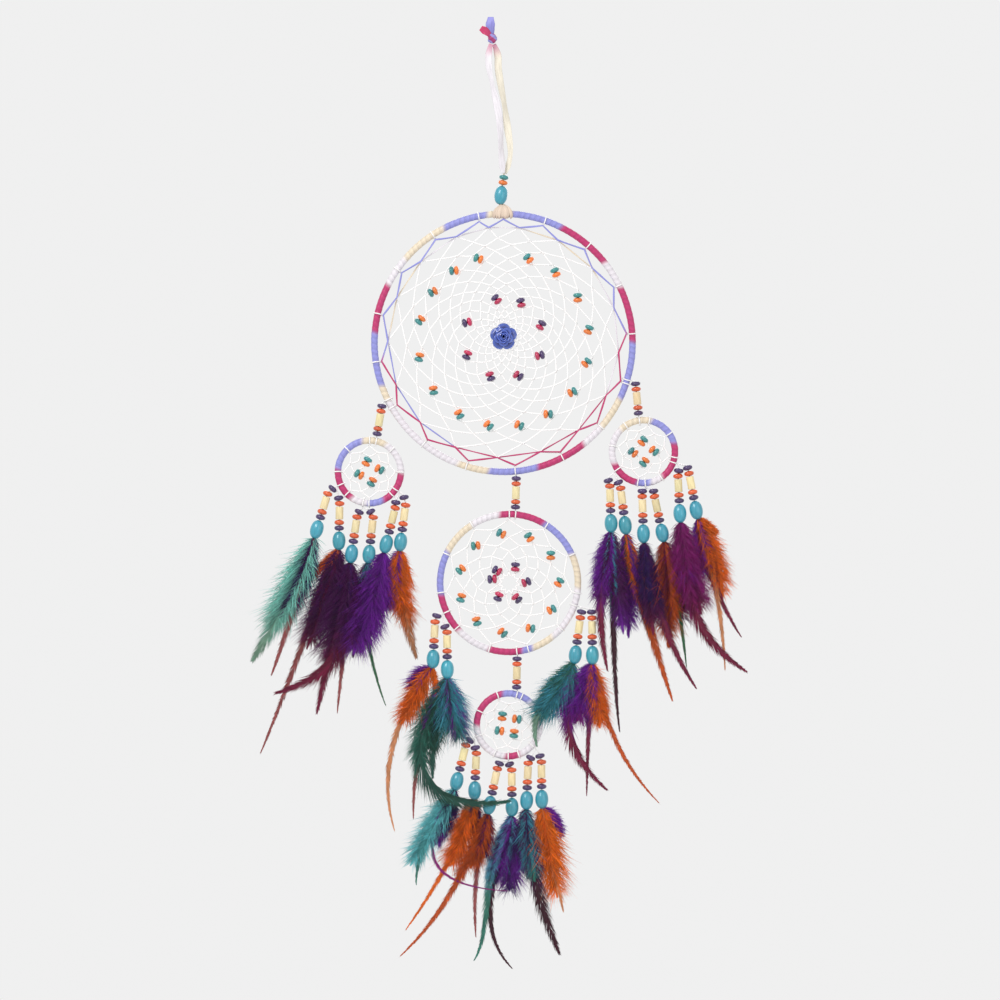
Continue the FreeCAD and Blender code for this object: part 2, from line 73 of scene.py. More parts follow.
def gridFaces(rows, columns, joinRows=False, joinColumns=True):
    # four-sided faces between neighbouring rows and columns, the last joined to the first if asked
    r = np.arange(rows if joinRows else rows - 1)[:, None]
    c = np.arange(columns if joinColumns else columns - 1)[None, :]
    r2, c2 = (r + 1) % rows, (c + 1) % columns
    return np.stack([r * columns + c, r * columns + c2, r2 * columns + c2, r2 * columns + c], -1).reshape(-1, 4)


def xyz(x, y, z):
    # three arrays brought to one shape and stacked along a last side of three
    return np.stack(np.broadcast_arrays(x, y, z), -1)


def runOf(points):
    # how far along its line each point is: the steps before it, added up
    return np.concatenate([[0], np.cumsum(np.linalg.norm(np.diff(points, axis=0), axis=1))])


def shape(points, faces, tint=(1, 1, 1), lay=(0, 0, 0)):
    # one part of a piece: points, lists of faces of equal size, a colour and a (along, round, own number) per point
    points = points.reshape(-1, 3)
    tint, lay = (np.broadcast_to(np.reshape(values, (-1, 3)), points.shape) for values in (tint, lay))
    return {"points": points, "faces": faces, "tint": tint, "lay": lay}


def dyed(parts, colour):
    # every part in one colour all over
    for part in parts:
        part["tint"] = np.broadcast_to(colour, part["points"].shape)
    return parts


def putPiece(name, parts, finish, nodes):
    # all parts as one mesh: face numbers move on by the points that come before them
    mesh = bpy.data.meshes.new(name)
    starts = np.cumsum([0] + [len(p["points"]) for p in parts])
    points = np.concatenate([p["points"] for p in parts])
    faces = [f + start for p, start in zip(parts, starts) for f in p["faces"]]
    sizes = np.concatenate([np.full(len(f), f.shape[1]) for f in faces])
    corners = np.concatenate([f.ravel() for f in faces])
    mesh.vertices.add(len(points))
    mesh.vertices.foreach_set("co", points.astype(np.float32).ravel())
    mesh.loops.add(len(corners))
    mesh.loops.foreach_set("vertex_index", corners.astype(np.int32))
    mesh.polygons.add(len(sizes))
    mesh.polygons.foreach_set("loop_start", np.concatenate([[0], np.cumsum(sizes)[:-1]]).astype(np.int32))
    mesh.polygons.foreach_set("use_smooth", np.ones(len(sizes), bool))
    mesh.update(calc_edges=True)
    for key, kind, field, width in (("tint", "FLOAT_COLOR", "color", 4), ("lay", "FLOAT_VECTOR", "vector", 3)):
        values = np.ones((len(points), width), np.float32)
        values[:, :3] = np.concatenate([p[key] for p in parts])
        mesh.attributes.new(key, kind, "POINT").data.foreach_set(field, values.ravel())
    mesh.materials.append(finish)
    piece = bpy.data.objects.new(name, mesh)
    bpy.context.scene.collection.objects.link(piece)
    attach(piece, nodeBody[nodes[0]])
    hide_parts(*nodes)
    return piece


def tube(path, radius, sides=6, loop=False, flat=1.0, turn=0.0, across=None, tint=(1, 1, 1), number=0.0):
    # at each point of the path an ellipse square to it: point + radius cos(a) across + flat radius sin(a) depth
    path = np.asarray(path, float)
    count = len(path)
    along = unit(np.roll(path, -1, 0) - np.roll(path, 1, 0) if loop else np.gradient(path, axis=0))
    if across is None:
        side = unit(np.cross(along, depthWay))
    else:
        side = unit(across - along * (across * along).sum(-1, keepdims=True))
    back = np.cross(along, side)
    turn = np.broadcast_to(turn, count)[:, None]
    side, back = side * np.cos(turn) + back * np.sin(turn), back * np.cos(turn) - side * np.sin(turn)
    a = np.arange(sides) * full / sides
    radius, flat = (np.broadcast_to(value, count)[:, None, None] for value in (radius, flat))
    spin = np.cos(a)[:, None] * side[:, None] + flat * np.sin(a)[:, None] * back[:, None]
    faces = [gridFaces(count, sides, loop, True)]
    if not loop:
        faces.append(np.stack([np.arange(sides)[::-1], (count - 1) * sides + np.arange(sides)]))
    if np.ndim(tint) == 2:
        tint = np.repeat(tint, sides, 0)
    return shape(path[:, None] + radius * spin, faces, tint, xyz(runOf(path)[:, None], a, number))


def hoops(centres, axes, major, minor, around=18, sides=6):
    # closed rings: centre + (major + minor cos b)(cos a side + sin a other) + minor sin b axis
    axes = unit(axes)
    side = unit(np.cross(axes, depthWay + 0.01))
    other = np.cross(axes, side)
    centres, axes, side, other = (rows[:, None, None] for rows in (centres, axes, side, other))
    a = (np.arange(around) * full / around)[:, None, None]
    b = (np.arange(sides) * full / sides)[:, None]
    points = centres + (major + minor * np.cos(b)) * (np.cos(a) * side + np.sin(a) * other) + minor * np.sin(b) * axes
    faces = gridFaces(around, sides, True, True)[:, ::-1]
    faces = (faces + np.arange(len(centres))[:, None, None] * around * sides).reshape(-1, 4)
    lay = np.tile(xyz(a * major, b, 0.0).reshape(-1, 3), (len(centres), 1))
    return shape(points, [faces], lay=lay)


def turned(profile, centres, axes, sides, tints):
    # beads from a lathe: centre + height axis + radius (cos a side + sin a other), the profile a closed line
    axes = unit(axes)
    side = unit(np.cross(depthWay, axes))
    other = np.cross(axes, side)
    centres, axes, side, other = (rows[:, None, None] for rows in (centres, axes, side, other))
    a = np.arange(sides) * full / sides
    spin = np.cos(a)[:, None] * side + np.sin(a)[:, None] * other
    points = centres + profile[:, None, 1:] * axes + profile[:, None, :1] * spin
    size = len(profile) * sides
    number = np.arange(len(centres))[:, None, None]
    faces = (gridFaces(len(profile), sides, True, True) + number * size).reshape(-1, 4)
    return shape(points, [faces], np.repeat(tints, size, 0), xyz(profile[:, 1:], a, number.astype(float)))


def foldedBall(centre, radii, fold, rows, columns, gap):
    # centre + radii * fold(u, v) * (sin u cos v, sin u sin v, cos u), u from pole to pole, with a face over each pole
    u, v = np.linspace(gap, math.pi - gap, rows)[:, None], np.arange(columns) * full / columns
    points = centre + radii * fold(u, v)[..., None] * xyz(np.sin(u) * np.cos(v), np.sin(u) * np.sin(v), np.cos(u))
    caps = np.stack([np.arange(columns), (rows - 1) * columns + np.arange(columns)[::-1]])
    return points, [gridFaces(rows, columns)[:, ::-1], caps], u, v


# Finishes. Each reads the piece's own tint and lay attributes or Object coordinates.

def newFinish(name, **sockets):
    # a material with its shader's sockets set, an underscore in a key standing for a space
    finish = bpy.data.materials.new(name)
    finish.use_nodes = True
    shader = finish.node_tree.nodes["Principled BSDF"]
    for socket, value in sockets.items():
        shader.inputs[socket.replace("_", " ")].default_value = value
    return finish, finish.node_tree, shader


def addNode(tree, kind, inputs=None, **settings):
    # a node with its settings, and each input linked or set
    node = tree.nodes.new("ShaderNode" + kind)
    for key, value in settings.items():
        setattr(node, key, value)
    for key, value in (inputs or {}).items():
        if isinstance(value, bpy.types.NodeSocket):
            tree.links.new(value, node.inputs[key])
        else:
            node.inputs[key].default_value = value
    return node


def placeOn(tree, source, stretch):
    # Object coordinates or the piece's own lay, stretched along its three ways
    if source == "Object":
        place = addNode(tree, "TexCoord").outputs["Object"]
    else:
        place = addNode(tree, "Attribute", attribute_name=source).outputs["Vector"]
    return addNode(tree, "Mapping", {"Vector": place, "Scale": stretch}).outputs["Vector"]


def grain(tree, scale, detail=3.0, stretch=(1, 1, 1), source="Object", distortion=0.0):
    # noise, as a factor around 0.5
    place = placeOn(tree, source, stretch)
    noise = addNode(tree, "TexNoise", {"Vector": place, "Scale": scale, "Detail": detail, "Distortion": distortion})
    return noise.outputs["Fac"]


def between(tree, factor, low, high):
    # the factor's middle part, 0.3 to 0.7, carried to low and high in a straight line
    limits = {"From Min": 0.3, "From Max": 0.7, "To Min": low, "To Max": high}
    return addNode(tree, "MapRange", {"Value": factor, **limits}).outputs["Result"]


def shade(tree, shader, factor, dark, light, colour=None):
    # base colour = the tint (or one colour) times a grey that follows the factor from dark to light
    base = colour or addNode(tree, "Attribute", attribute_name="tint").outputs["Color"]
    grey = between(tree, factor, dark, light)
    mix = addNode(tree, "Mix", {"Factor": 1.0, "A": base, "B": grey}, data_type="RGBA", blend_type="MULTIPLY")
    tree.links.new(mix.outputs["Result"], shader.inputs["Base Color"])


def roughen(tree, shader, factor, low, high):
    # roughness follows the factor from low to high
    tree.links.new(between(tree, factor, low, high), shader.inputs["Roughness"])


def raiseBump(tree, shader, height, strength, distance):
    # the surface seems to rise by the height times the distance in metres
    bump = addNode(tree, "Bump", {"Height": height, "Strength": strength, "Distance": distance})
    tree.links.new(bump.outputs["Normal"], shader.inputs["Normal"])


def grained(name, look, tones, rough, bump, fine=None, colour=None, **sockets):
    # one grain moves the colour and the roughness, and raises the bump too unless a finer one does
    finish, tree, shader = newFinish(name, **sockets)
    factor = grain(tree, *look)
    shade(tree, shader, factor, *tones, colour)
    roughen(tree, shader, factor, *rough)
    raiseBump(tree, shader, grain(tree, *fine) if fine else factor, *bump)
    return finish


def satinFinish(name):
    # fine threads across the ribbon and long soft streaks along it
    return grained(name, (1.0, 3.0, (120, 3, 1), "lay"), (0.86, 1.08), (0.34, 0.5), (0.35, 0.00012),
                   (1.0, 2.0, (3500, 1.5, 1), "lay"), Specular_IOR_Level=0.4, Sheen_Weight=0.08, Sheen_Roughness=0.4)


def threadFinish(name):
    # two plies: stripes that climb round the thread, over fine fibre
    finish, tree, shader = newFinish(name, Roughness=0.62, Sheen_Weight=0.1, Sheen_Roughness=0.5)
    stripes = {"Vector": placeOn(tree, "lay", (2400, 1.0, 0)), "Scale": 0.16, "Distortion": 0.4}
    plies = addNode(tree, "TexWave", stripes, wave_type="BANDS", bands_direction="DIAGONAL")
    shade(tree, shader, grain(tree, 900.0), 0.93, 1.06)
    raiseBump(tree, shader, plies.outputs["Fac"], 0.6, 0.0002)
    return finish


def beadFinish(name, roughness, coat):
    # dyed wood under thin lacquer: growth lines along the bead, darker and rougher in the grain
    return grained(name, (1.0, 4.0, (160, 5.5, 3.7), "lay", 0.6), (0.78, 1.1), (roughness + 0.12, roughness - 0.06),
                   (0.25, 0.00015), Coat_Weight=coat, Coat_Roughness=0.12, Specular_IOR_Level=0.5)


satin, creamSatin = satinFinish("dyedSatin"), satinFinish("creamSatin")
thread, colourThread = threadFinish("whiteThread"), threadFinish("dyedCord")
lacquer = beadFinish("lacqueredWood", 0.34, 0.5)
plainWood = beadFinish("plainWood", 0.46, 0.2)
turquoiseStone = beadFinish("turquoiseLacquer", 0.3, 0.6)
# cast resin with thin flow marks and a soft gloss; dyed barbs in patches over a very fine grain; bare cane
roseResin = grained("roseResin", (260.0, 4.0, (1, 1, 1), "Object", 1.2), (0.82, 1.12), (0.18, 0.32), (0.15, 0.0002),
                    Coat_Weight=0.85, Coat_Roughness=0.08, Specular_IOR_Level=0.6)
plume = grained("dyedFeather", (170.0,), (0.8, 1.15), (0.5, 0.7), (0.2, 0.00005), (2500.0, 2.0),
                Sheen_Weight=0.06, Sheen_Roughness=0.4, Specular_IOR_Level=0.22)
cane = grained("cane", (320.0, 4.0), (0.75, 1.1), (0.5, 0.68), (0.3, 0.0002), colour=(*dye(196, 160, 110), 1))
print("finishes ready")

# Camera: straight on, from far off, so that the hoops stay round

camera = {"distance": 6.0, "frameWidth": 0.83, "sensor": 36.0, "aim": (0.0058, 0.0, -0.376)}
lens = bpy.data.cameras.new("camera")
lens.sensor_width = camera["sensor"]
lens.lens = camera["sensor"] * camera["distance"] / camera["frameWidth"]
eye = bpy.data.objects.new("camera", lens)
eye.location = (camera["aim"][0], -camera["distance"], camera["aim"][2])
eye.rotation_euler = (math.pi / 2, 0, 0)
bpy.context.scene.collection.objects.link(eye)
bpy.context.scene.camera = eye

# Hanging ribbons: two flat satin ribbons that turn on themselves between the knot and the first bead

ribbons = {
    "width": 6.0, "thickness": 0.55, "stations": 150,
    "cream": dye(238, 230, 212), "white": dye(236, 231, 236), "blush": dye(214, 150, 172),
    "left": {"y": -1.75, "route": [(-1.7, 2.4), (-4.2, -6.5), (-3.4, -18.5), (0.5, -36.0),
                                   (4.6, -53.0), (6.2, -70.0), (6.6, -88.0), (8.3, -104.9)],
             "turns": [(0.0, 5), (0.12, 20), (0.3, 58), (0.42, 25), (0.6, -20), (0.78, -48), (1.0, -10)]},
    "right": {"y": 1.75, "route": [(0.9, 2.4), (4.6, -6.3), (3.9, -16.0), (6.5, -32.0), (9.6, -48.0),
                                   (12.0, -67.0), (14.8, -85.0), (13.4, -97.0), (9.9, -104.9)],
              "turns": [(0.0, -10), (0.15, 15), (0.35, -30), (0.5, -52), (0.7, 20), (0.88, 55), (1.0, 15)]},
}


def splineLine(name, route, y):
    # the route's points as control points of a NURBS line, and the line it draws as points
    curve = bpy.data.curves.new(name + "Line", "CURVE")
    curve.dimensions = "3D"
    curve.resolution_u = 24
    spline = curve.splines.new("NURBS")
    spline.points.add(len(route) - 1)
    spline.points.foreach_set("co", [value for x, z in route for value in (x * mm, y * mm, z * mm, 1.0)])
    spline.order_u = 3
    spline.use_endpoint_u = True
    holder = bpy.data.objects.new(name + "Line", curve)
    bpy.context.scene.collection.objects.link(holder)
    bpy.context.view_layer.update()
    drawn = bpy.data.meshes.new_from_object(holder.evaluated_get(bpy.context.evaluated_depsgraph_get()))
    points = np.empty(len(drawn.vertices) * 3)
    drawn.vertices.foreach_get("co", points)
    bpy.data.objects.remove(holder)
    bpy.data.curves.remove(curve)
    bpy.data.meshes.remove(drawn)
    return points.reshape(-1, 3)


def evenly(points, count):
    # the same line at equal steps along it
    run = runOf(points)
    want = np.linspace(0, run[-1], count)
    return np.stack([np.interp(want, run, points[:, k]) for k in range(3)], -1), run[-1]


def hangingRibbon(name, spec):
    # a flat ellipse carried along the line, turned about it by an angle that eases from key to key
    line, length = evenly(splineLine(name, spec["route"], spec["y"]), ribbons["stations"])
    share = np.linspace(0, 1, ribbons["stations"])
    keys = np.array(spec["turns"], float)
    fine = np.interp(share, keys[:, 0], np.radians(keys[:, 1]))
    turn = np.convolve(np.pad(fine, 8, "edge"), np.ones(17) / 17, "valid")
    gather = 1 - 0.42 * (1 - smooth(0.0, 0.09, share)) - 0.45 * smooth(0.93, 1.0, share)
    half = ribbons["width"] / 2 * mm * gather
    fade = smooth(0.0, 0.12, share)[:, None]
    base = ribbons["white"] if name.endswith("left") else ribbons["cream"]
    tint = ribbons["blush"] * (1 - fade) + base * fade
    part = tube(line, half, 16, flat=ribbons["thickness"] / ribbons["width"] / gather, turn=turn, tint=tint)
    piece = putPiece(name + "_satin", [part], creamSatin, [name])
    return piece, line, length


# Knot and tails above the loop

def ribbonKnot():
    # a ball whose radius swells and sinks in folds that wind round it
    low, high = (np.array(corner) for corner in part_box("ribbon_knot"))
    radii = (high[0] - low[0]) / 2 * 0.88 * np.array([1.0, 0.86, 1.02])

    def fold(u, v):
        # 1 + a wave that turns as it goes down - the sharp creases of a second one
        return 1 + (0.09 * np.sin(3 * v + 5 * u) - 0.07 * np.abs(np.sin(2 * v - 3 * u))) * np.sin(u)

    points, faces, u, v = foldedBall((low + high) / 2, radii, fold, 30, 48, 0.02)
    share = smooth(-0.25, 0.35, np.sin(2 * v - 3 * u + 0.8))[..., None]
    tint = dye(168, 56, 112) * (1 - share) + dye(150, 148, 212) * share
    return shape(points, faces, tint, xyz(u * 0.005, v, 0.0))


tailKinds = {
    "flat": 0.42, "stations": 26,
    "magenta": {"keys": [(-2.0, 9.2), (-5.6, 12.8), (-10.2, 15.6)], "halfWidths": [1.5, 2.9, 3.3, 2.3],
                "y": -0.9, "sweep": -1.2, "colour": dye(200, 58, 106)},
    "sky": {"keys": [(-1.0, 9.4), (-2.4, 16.5), (-1.9, 25.0)], "halfWidths": [1.7, 3.6, 3.9, 2.5],
            "y": 0.9, "sweep": 1.0, "colour": dye(142, 140, 212)},
}


def tail(kind, number):
    # a flat band from the knot to its cut end, its width straight from key to key and its face gently folded
    spec = tailKinds[kind]
    share = np.linspace(0, 1, tailKinds["stations"])

    def eased(values):
        # straight from key to key, each point then the mean of seven
        line = np.interp(share, np.linspace(0, 1, len(values)), values)
        return np.convolve(np.pad(line, 3, "reflect", reflect_type="odd"), np.ones(7) / 7, "valid")

    x, z = (eased(values) for values in zip(*spec["keys"]))
    half = np.interp(share, np.linspace(0, 1, len(spec["halfWidths"])), spec["halfWidths"])
    path = xyz(x, spec["y"] + spec["sweep"] * share ** 2, z) * mm
    # painted shade: the tail darker where it leaves the knot and lighter towards its cut end
    tint = spec["colour"] * (0.82 + 0.3 * share[:, None])
    turn = 0.35 * np.sin(share * 5)
    return tube(path, half * mm, 18, flat=tailKinds["flat"] / half, turn=turn, tint=tint, number=number)


leftRibbon, leftLine, leftLength = hangingRibbon("hanging_ribbon_left", ribbons["left"])
rightRibbon, rightLine, rightLength = hangingRibbon("hanging_ribbon_right", ribbons["right"])
knot = putPiece("hanging_knot", [ribbonKnot()], satin, ["ribbon_knot"])
tails = putPiece("hanging_tails", [tail("magenta", 1.0), tail("sky", 2.0)], satin, ["ribbon_tails"])
print("hanging ribbons", round(leftLength, 4), round(rightLength, 4))


# Rims

caneRadius = 2.0 * mm


def rimOf(name):
    # the middle of the cane's box, and half its width less the cane's own radius
    low, high = (np.array(corner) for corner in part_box(name + "_ring"))
    return {"centre": (low + high) / 2, "radius": (high[0] - low[0]) / 2 - caneRadius}


rims = {name: rimOf(name) for name in ("large", "medium", "left", "right", "bottom")}


def onRim(rim, clock, radius, y=0.0, lift=0.0):
    # clock degrees run clockwise from the top; lift raises the middle of the net
    a = np.radians(clock)
    rise = lift * (1 - radius / rim["radius"])
    return xyz(rim["centre"][0] + radius * np.sin(a), y, rim["centre"][2] + radius * np.cos(a) + rise)


sky, penny, creamDye, whiteDye = dye(150, 152, 222), dye(196, 52, 112), dye(238, 222, 196), dye(238, 232, 238)
wrapping = {  # for each rim its turns, and where each colour ends in clock degrees
    "inner": 2.72, "proud": 0.15, "steps": 9, "sides": 18, "blend": 1.4 * 107,
    "large": (148, [
        (3, creamDye), (26, sky), (51, penny), (64, whiteDye), (89, penny), (115, sky), (130, creamDye),
        (141, whiteDye), (164, penny), (186, sky), (200, creamDye), (243, whiteDye), (250, creamDye),
        (274, sky), (296, penny), (310, whiteDye), (332, creamDye), (352, sky), (360, creamDye)]),
    "medium": (80, [
        (29, penny), (64, sky), (93, creamDye), (140, whiteDye), (159, creamDye), (168, sky), (196, penny),
        (226, whiteDye), (259, penny), (296, sky), (326, creamDye), (351, whiteDye), (360, penny)]),
    "left": (37, [
        (28, creamDye), (90, whiteDye), (151, penny), (180, sky), (212, whiteDye), (272, penny), (344, sky),
        (360, creamDye)]),
    "right": (37, [
        (12, creamDye), (72, sky), (141, penny), (165, whiteDye), (190, sky), (245, penny), (312, whiteDye),
        (360, creamDye)]),
    "bottom": (37, [(39, sky), (157, whiteDye), (183, penny), (266, whiteDye), (347, penny), (360, sky)]),
}


def ribbonWrap(name):
    # ribbon wound round the cane: radius = inner + proud * edge, the edge rising and falling within each slanting turn
    turns, colours = wrapping[name]
    rim = rims[name]
    rows = turns * wrapping["steps"]
    clock = np.arange(rows)[:, None] * full / rows
    section = np.arange(wrapping["sides"])[None, :] * full / wrapping["sides"]
    place = (clock * turns / full - section / full) % 1
    edge = smooth(0.0, 0.82, place) * (1 - smooth(0.9, 1.0, place))
    wobble = 0.03 * np.sin(clock * 23 + section) + 0.02 * np.sin(clock * 57 - 2 * section)
    radius = (wrapping["inner"] + wrapping["proud"] * edge + wobble) * mm
    reach = rim["radius"] + radius * np.cos(section)
    degrees = np.degrees(clock - (section - math.pi) / turns) % 360
    blend = wrapping["blend"] * mm / rim["radius"]
    tint, start = colours[0][1], colours[0][0]
    for end, colour in colours[1:]:
        share = smooth(start - blend, start + blend, degrees)[..., None]
        tint = tint * (1 - share) + colour * share
        start = end
    tint = tint * (0.86 + 0.16 * edge[..., None])  # painted shade: a little darker in the grooves between the turns
    points = xyz(reach * np.sin(clock), radius * np.sin(section), reach * np.cos(clock)) + rim["centre"] * [1, 0, 1]
    lay = xyz(clock * rim["radius"], place * 6, 0.0)
    return shape(points, [gridFaces(rows, wrapping["sides"], True, True)], tint, lay)


for name in rims:
    frame["nodes"][name + "_ring"].data.materials.clear()
    frame["nodes"][name + "_ring"].data.materials.append(cane)
    putPiece(name + "_ribbon_wrap", [ribbonWrap(name)], satin, [name + "_wrap"])
print("rims wrapped")

# Nets

smallNet = {"anchors": 8, "lift": 0.0, "skip": [], "levels": [21.65, 17.4, 12.6], "star": (12.6, 6.0)}
nets = {  # radii from the rim inwards, and the clock degrees where strings are tied to the rim
    "thread": 0.57, "plane": 0.55, "hitch": 3.35, "knot": (0.78, 0.36), "points": 6, "slack": 0.35,
    "large": {"anchors": 17, "first": 0.0, "lift": 5.0, "skip": [0], "ties": [243.7, 106.6, 174.3],
              "levels": [102.65, 95.9, 86, 80.5, 75, 68, 62, 56.5, 51, 46, 41.5, 37, 29.5, 24.5, 20, 16, 12.5, 9.5]},
    "medium": {"anchors": 11, "first": 0.0, "lift": 0.0, "skip": [], "ties": [5.2, 173.3, 244.9, 108.5],
               "levels": [52.75, 46, 38, 32, 26.5, 20, 9, 6]},
    "left": {"first": 0.0, "ties": [12.0, 245.4, 191.0, 123.6], **smallNet},
    "right": {"first": 10.0, "ties": [351.9, 234.5, 176.4, 109.5], **smallNet},
    "bottom": {"first": -20.0, "ties": [15.3, 247.7, 179.4, 129.9], **smallNet},
}
# the large net is strung as listed: (even clock, shift) at the rim, and from the outer beads inwards
drift = {
    "rim": [(0, 0.0), (21, -2.5), (64, 0.0), (127, 3.6), (190, 6.0), (296, 8.0), (339, 9.9), (360, 0.0)],
    "bead": [(0, -6.0), (26, -10.0), (48, -11.0), (90, -7.5), (132, -6.0), (154, -5.0), (217, -7.0), (238, -4.0),
             (259, -1.0), (280, 4.0), (322, 2.0), (344, -1.0), (360, -6.0)],
    "from": 102.65, "to": 71.5,
}


def strung(rim, clock, radius):
    # clock + share of the rim's shift + the rest of the beads' shift, each read from its table by straight lines
    if rim is not rims["large"]:
        return clock
    share = np.clip((radius - drift["to"]) / (drift["from"] - drift["to"]), 0, 1)
    shifts = [np.interp(np.mod(clock, 360), *np.array(drift[key]).T) for key in ("rim", "bead")]
    return clock + share * shifts[0] + (1 - share) * shifts[1]


def zigzagLine(rim, count, outer, inner, first, y, lift, slack):
    # spans between outer and inner points in turn, each bowed a little by slack * sin(pi t)
    step = 360 / count
    k = np.arange(count)
    corners = np.empty((2 * count, 3))
    corners[0::2] = onRim(rim, strung(rim, first + k * step, outer), outer * mm, y, lift * mm)
    corners[1::2] = onRim(rim, strung(rim, first + (k + 0.5) * step, inner), inner * mm, y, lift * mm)
    t = (np.arange(nets["points"]) / nets["points"])[None, :, None]
    after = np.roll(corners, -1, 0)
    spans = corners[:, None] * (1 - t) + after[:, None] * t
    droop = np.array([0, 0, -1.0]) * slack * mm * chance.uniform(0.3, 1.0, (2 * count, 1, 1)) * np.sin(np.pi * t)
    return (spans + droop).reshape(-1, 3), corners


def netParts(name):
    # one zigzag for each two levels, a knot where two of them meet, and a hitch round the rim at each tie
    rim, spec = rims[name], nets[name]
    count, lift = spec["anchors"], spec["lift"]
    step, width = 360 / count, nets["thread"] * mm
    lines, crossings, ways = [], [], []
    for i, (outer, inner) in enumerate(zip(spec["levels"], spec["levels"][1:])):
        y = nets["plane"] * mm * (1 if i % 2 else -1)
        line, corners = zigzagLine(rim, count, outer, inner, spec["first"] + i * step / 2, y, lift, nets["slack"])
        lines.append(line)
        if i:
            crossings.append(corners[0::2] * [1, 0, 1])
            ways.append(unit(corners[1::2] - corners[0::2]))
    if "star" in spec:
        lines.append(zigzagLine(rim, 4, *spec["star"], spec["first"], -nets["plane"] * mm, 0.0, 0.1)[0])
    parts = [tube(line, width, loop=True) for line in lines]
    parts.append(hoops(np.concatenate(crossings), np.concatenate(ways), *np.array(nets["knot"]) * mm, 10, 5))
    hitches = [spec["first"] + k * step for k in range(count) if k not in spec["skip"]]
    clocks = [float(strung(rim, clock, spec["levels"][0])) for clock in hitches]
    gap = 3.5 if "star" in spec else math.degrees(1.1 * mm / (rim["radius"] - nets["hitch"] * mm))
    clocks += [tie for tie in spec["ties"] if min(abs((tie - c + 180) % 360 - 180) for c in clocks) > gap]
    a = np.radians(clocks)
    slant = xyz(np.cos(a), 0.09, -np.sin(a))
    parts.append(hoops(onRim(rim, clocks, rim["radius"]), slant, (nets["hitch"] - 0.05) * mm, width, 24))
    under = onRim(rim, clocks, rim["radius"] - (nets["hitch"] + 0.5) * mm)
    parts.append(hoops(under, xyz(np.sin(a), 0.4, np.cos(a)), 0.6 * mm, width, 10))
    return parts


threadDye = dye(255, 253, 252) * 1.04
for name in rims:
    putPiece(name + "_net", dyed(netParts(name), threadDye), thread, [name + "_web"])
print("nets strung")

# Coloured cord inside the large rim: a zigzag from the rim and a ring of corners behind it

lace = {"half": 0.8, "backHalf": 0.64, "flat": 0.55, "outer": 102.3, "inner": 95.9, "frontY": -1.85, "backY": 1.85,
        "twist": 500.0}


def arcTint(degrees, arcs, base, blend=3.0):
    # base colour, with each arc's own colour eased in at both of its ends
    tint = np.zeros((len(degrees), 3)) + base
    for start, end, colour in arcs:
        mid, half = (start + end) / 2, (end - start) / 2
        away = np.abs((degrees - mid + 180) % 360 - 180)
        share = (1 - smooth(half - blend, half + blend, away))[:, None]
        tint = tint * (1 - share) + colour * share
    return tint


def laceParts():
    # the zigzag in front, then straight runs between the corners behind, each turned about itself by a slow wave
    rim, spec = rims["large"], nets["large"]
    count, outer, inner = spec["anchors"], lace["outer"], lace["inner"]
    front, _ = zigzagLine(rim, count, outer, inner, 0.0, lace["frontY"] * mm, spec["lift"], 0.2)
    clocks = strung(rim, (np.arange(count) + 0.5) * 360 / count, inner)
    corner = onRim(rim, clocks, inner * mm, lace["backY"] * mm, spec["lift"] * mm)
    t = (np.arange(12) / 12)[:, None]
    back = (corner[:, None] * (1 - t) + np.roll(corner, -1, 0)[:, None] * t).reshape(-1, 3)
    parts = []
    for line, half, base, arcs in (
            (front, lace["half"], sky, [(85, 263, penny)]),
            (back, lace["backHalf"], whiteDye,
             [(276, 316, creamDye), (12, 55, creamDye), (205, 268, sky), (118, 205, penny)])):
        x, _, z = (line - rim["centre"]).T
        run = runOf(line)
        total = run[-1] + np.linalg.norm(line[0] - line[-1])
        turns = round(total * lace["twist"] / full)
        turn = 0.9 * np.sin(run / total * full * turns / 4)
        tint = arcTint(np.degrees(np.arctan2(x, z)) % 360, arcs, base)
        parts.append(tube(line, half * mm, 10, loop=True, flat=lace["flat"], turn=turn, tint=tint))
    return parts


putPiece("large_coloured_lace", laceParts(), satin, ["large_lace"])
print("lace laid")


# Beads, each where the CAD bead of its kind is

weld = 5e-6  # corners nearer than this are one


def looseSolids(node):
    # the node's triangles by solid: each corner takes the lowest number of its triangle until none changes
    mesh = frame["nodes"][node].data
    points = np.empty(len(mesh.vertices) * 3)
    mesh.vertices.foreach_get("co", points)
    mesh.calc_loop_triangles()
    triangles = np.empty(len(mesh.loop_triangles) * 3, np.int32)
    mesh.loop_triangles.foreach_get("vertices", triangles)
    spots, same = np.unique(np.round(points.reshape(-1, 3) / weld).astype(np.int64), axis=0, return_inverse=True)
    corners = same.ravel()[triangles].reshape(-1, 3)
    label = np.arange(len(spots))
    while True:
        lower = label.copy()
        np.minimum.at(lower, corners.ravel(), np.repeat(label[corners].min(1), 3))
        lower = lower[lower]
        if (lower == label).all():
            break
        label = lower
    return [spots[label == k] * weld for k in np.unique(label)]


beadKinds = {"disc": (8.0, 4.15), "tube": (6.4, 10.6), "oval": (11.0, 16.0)}


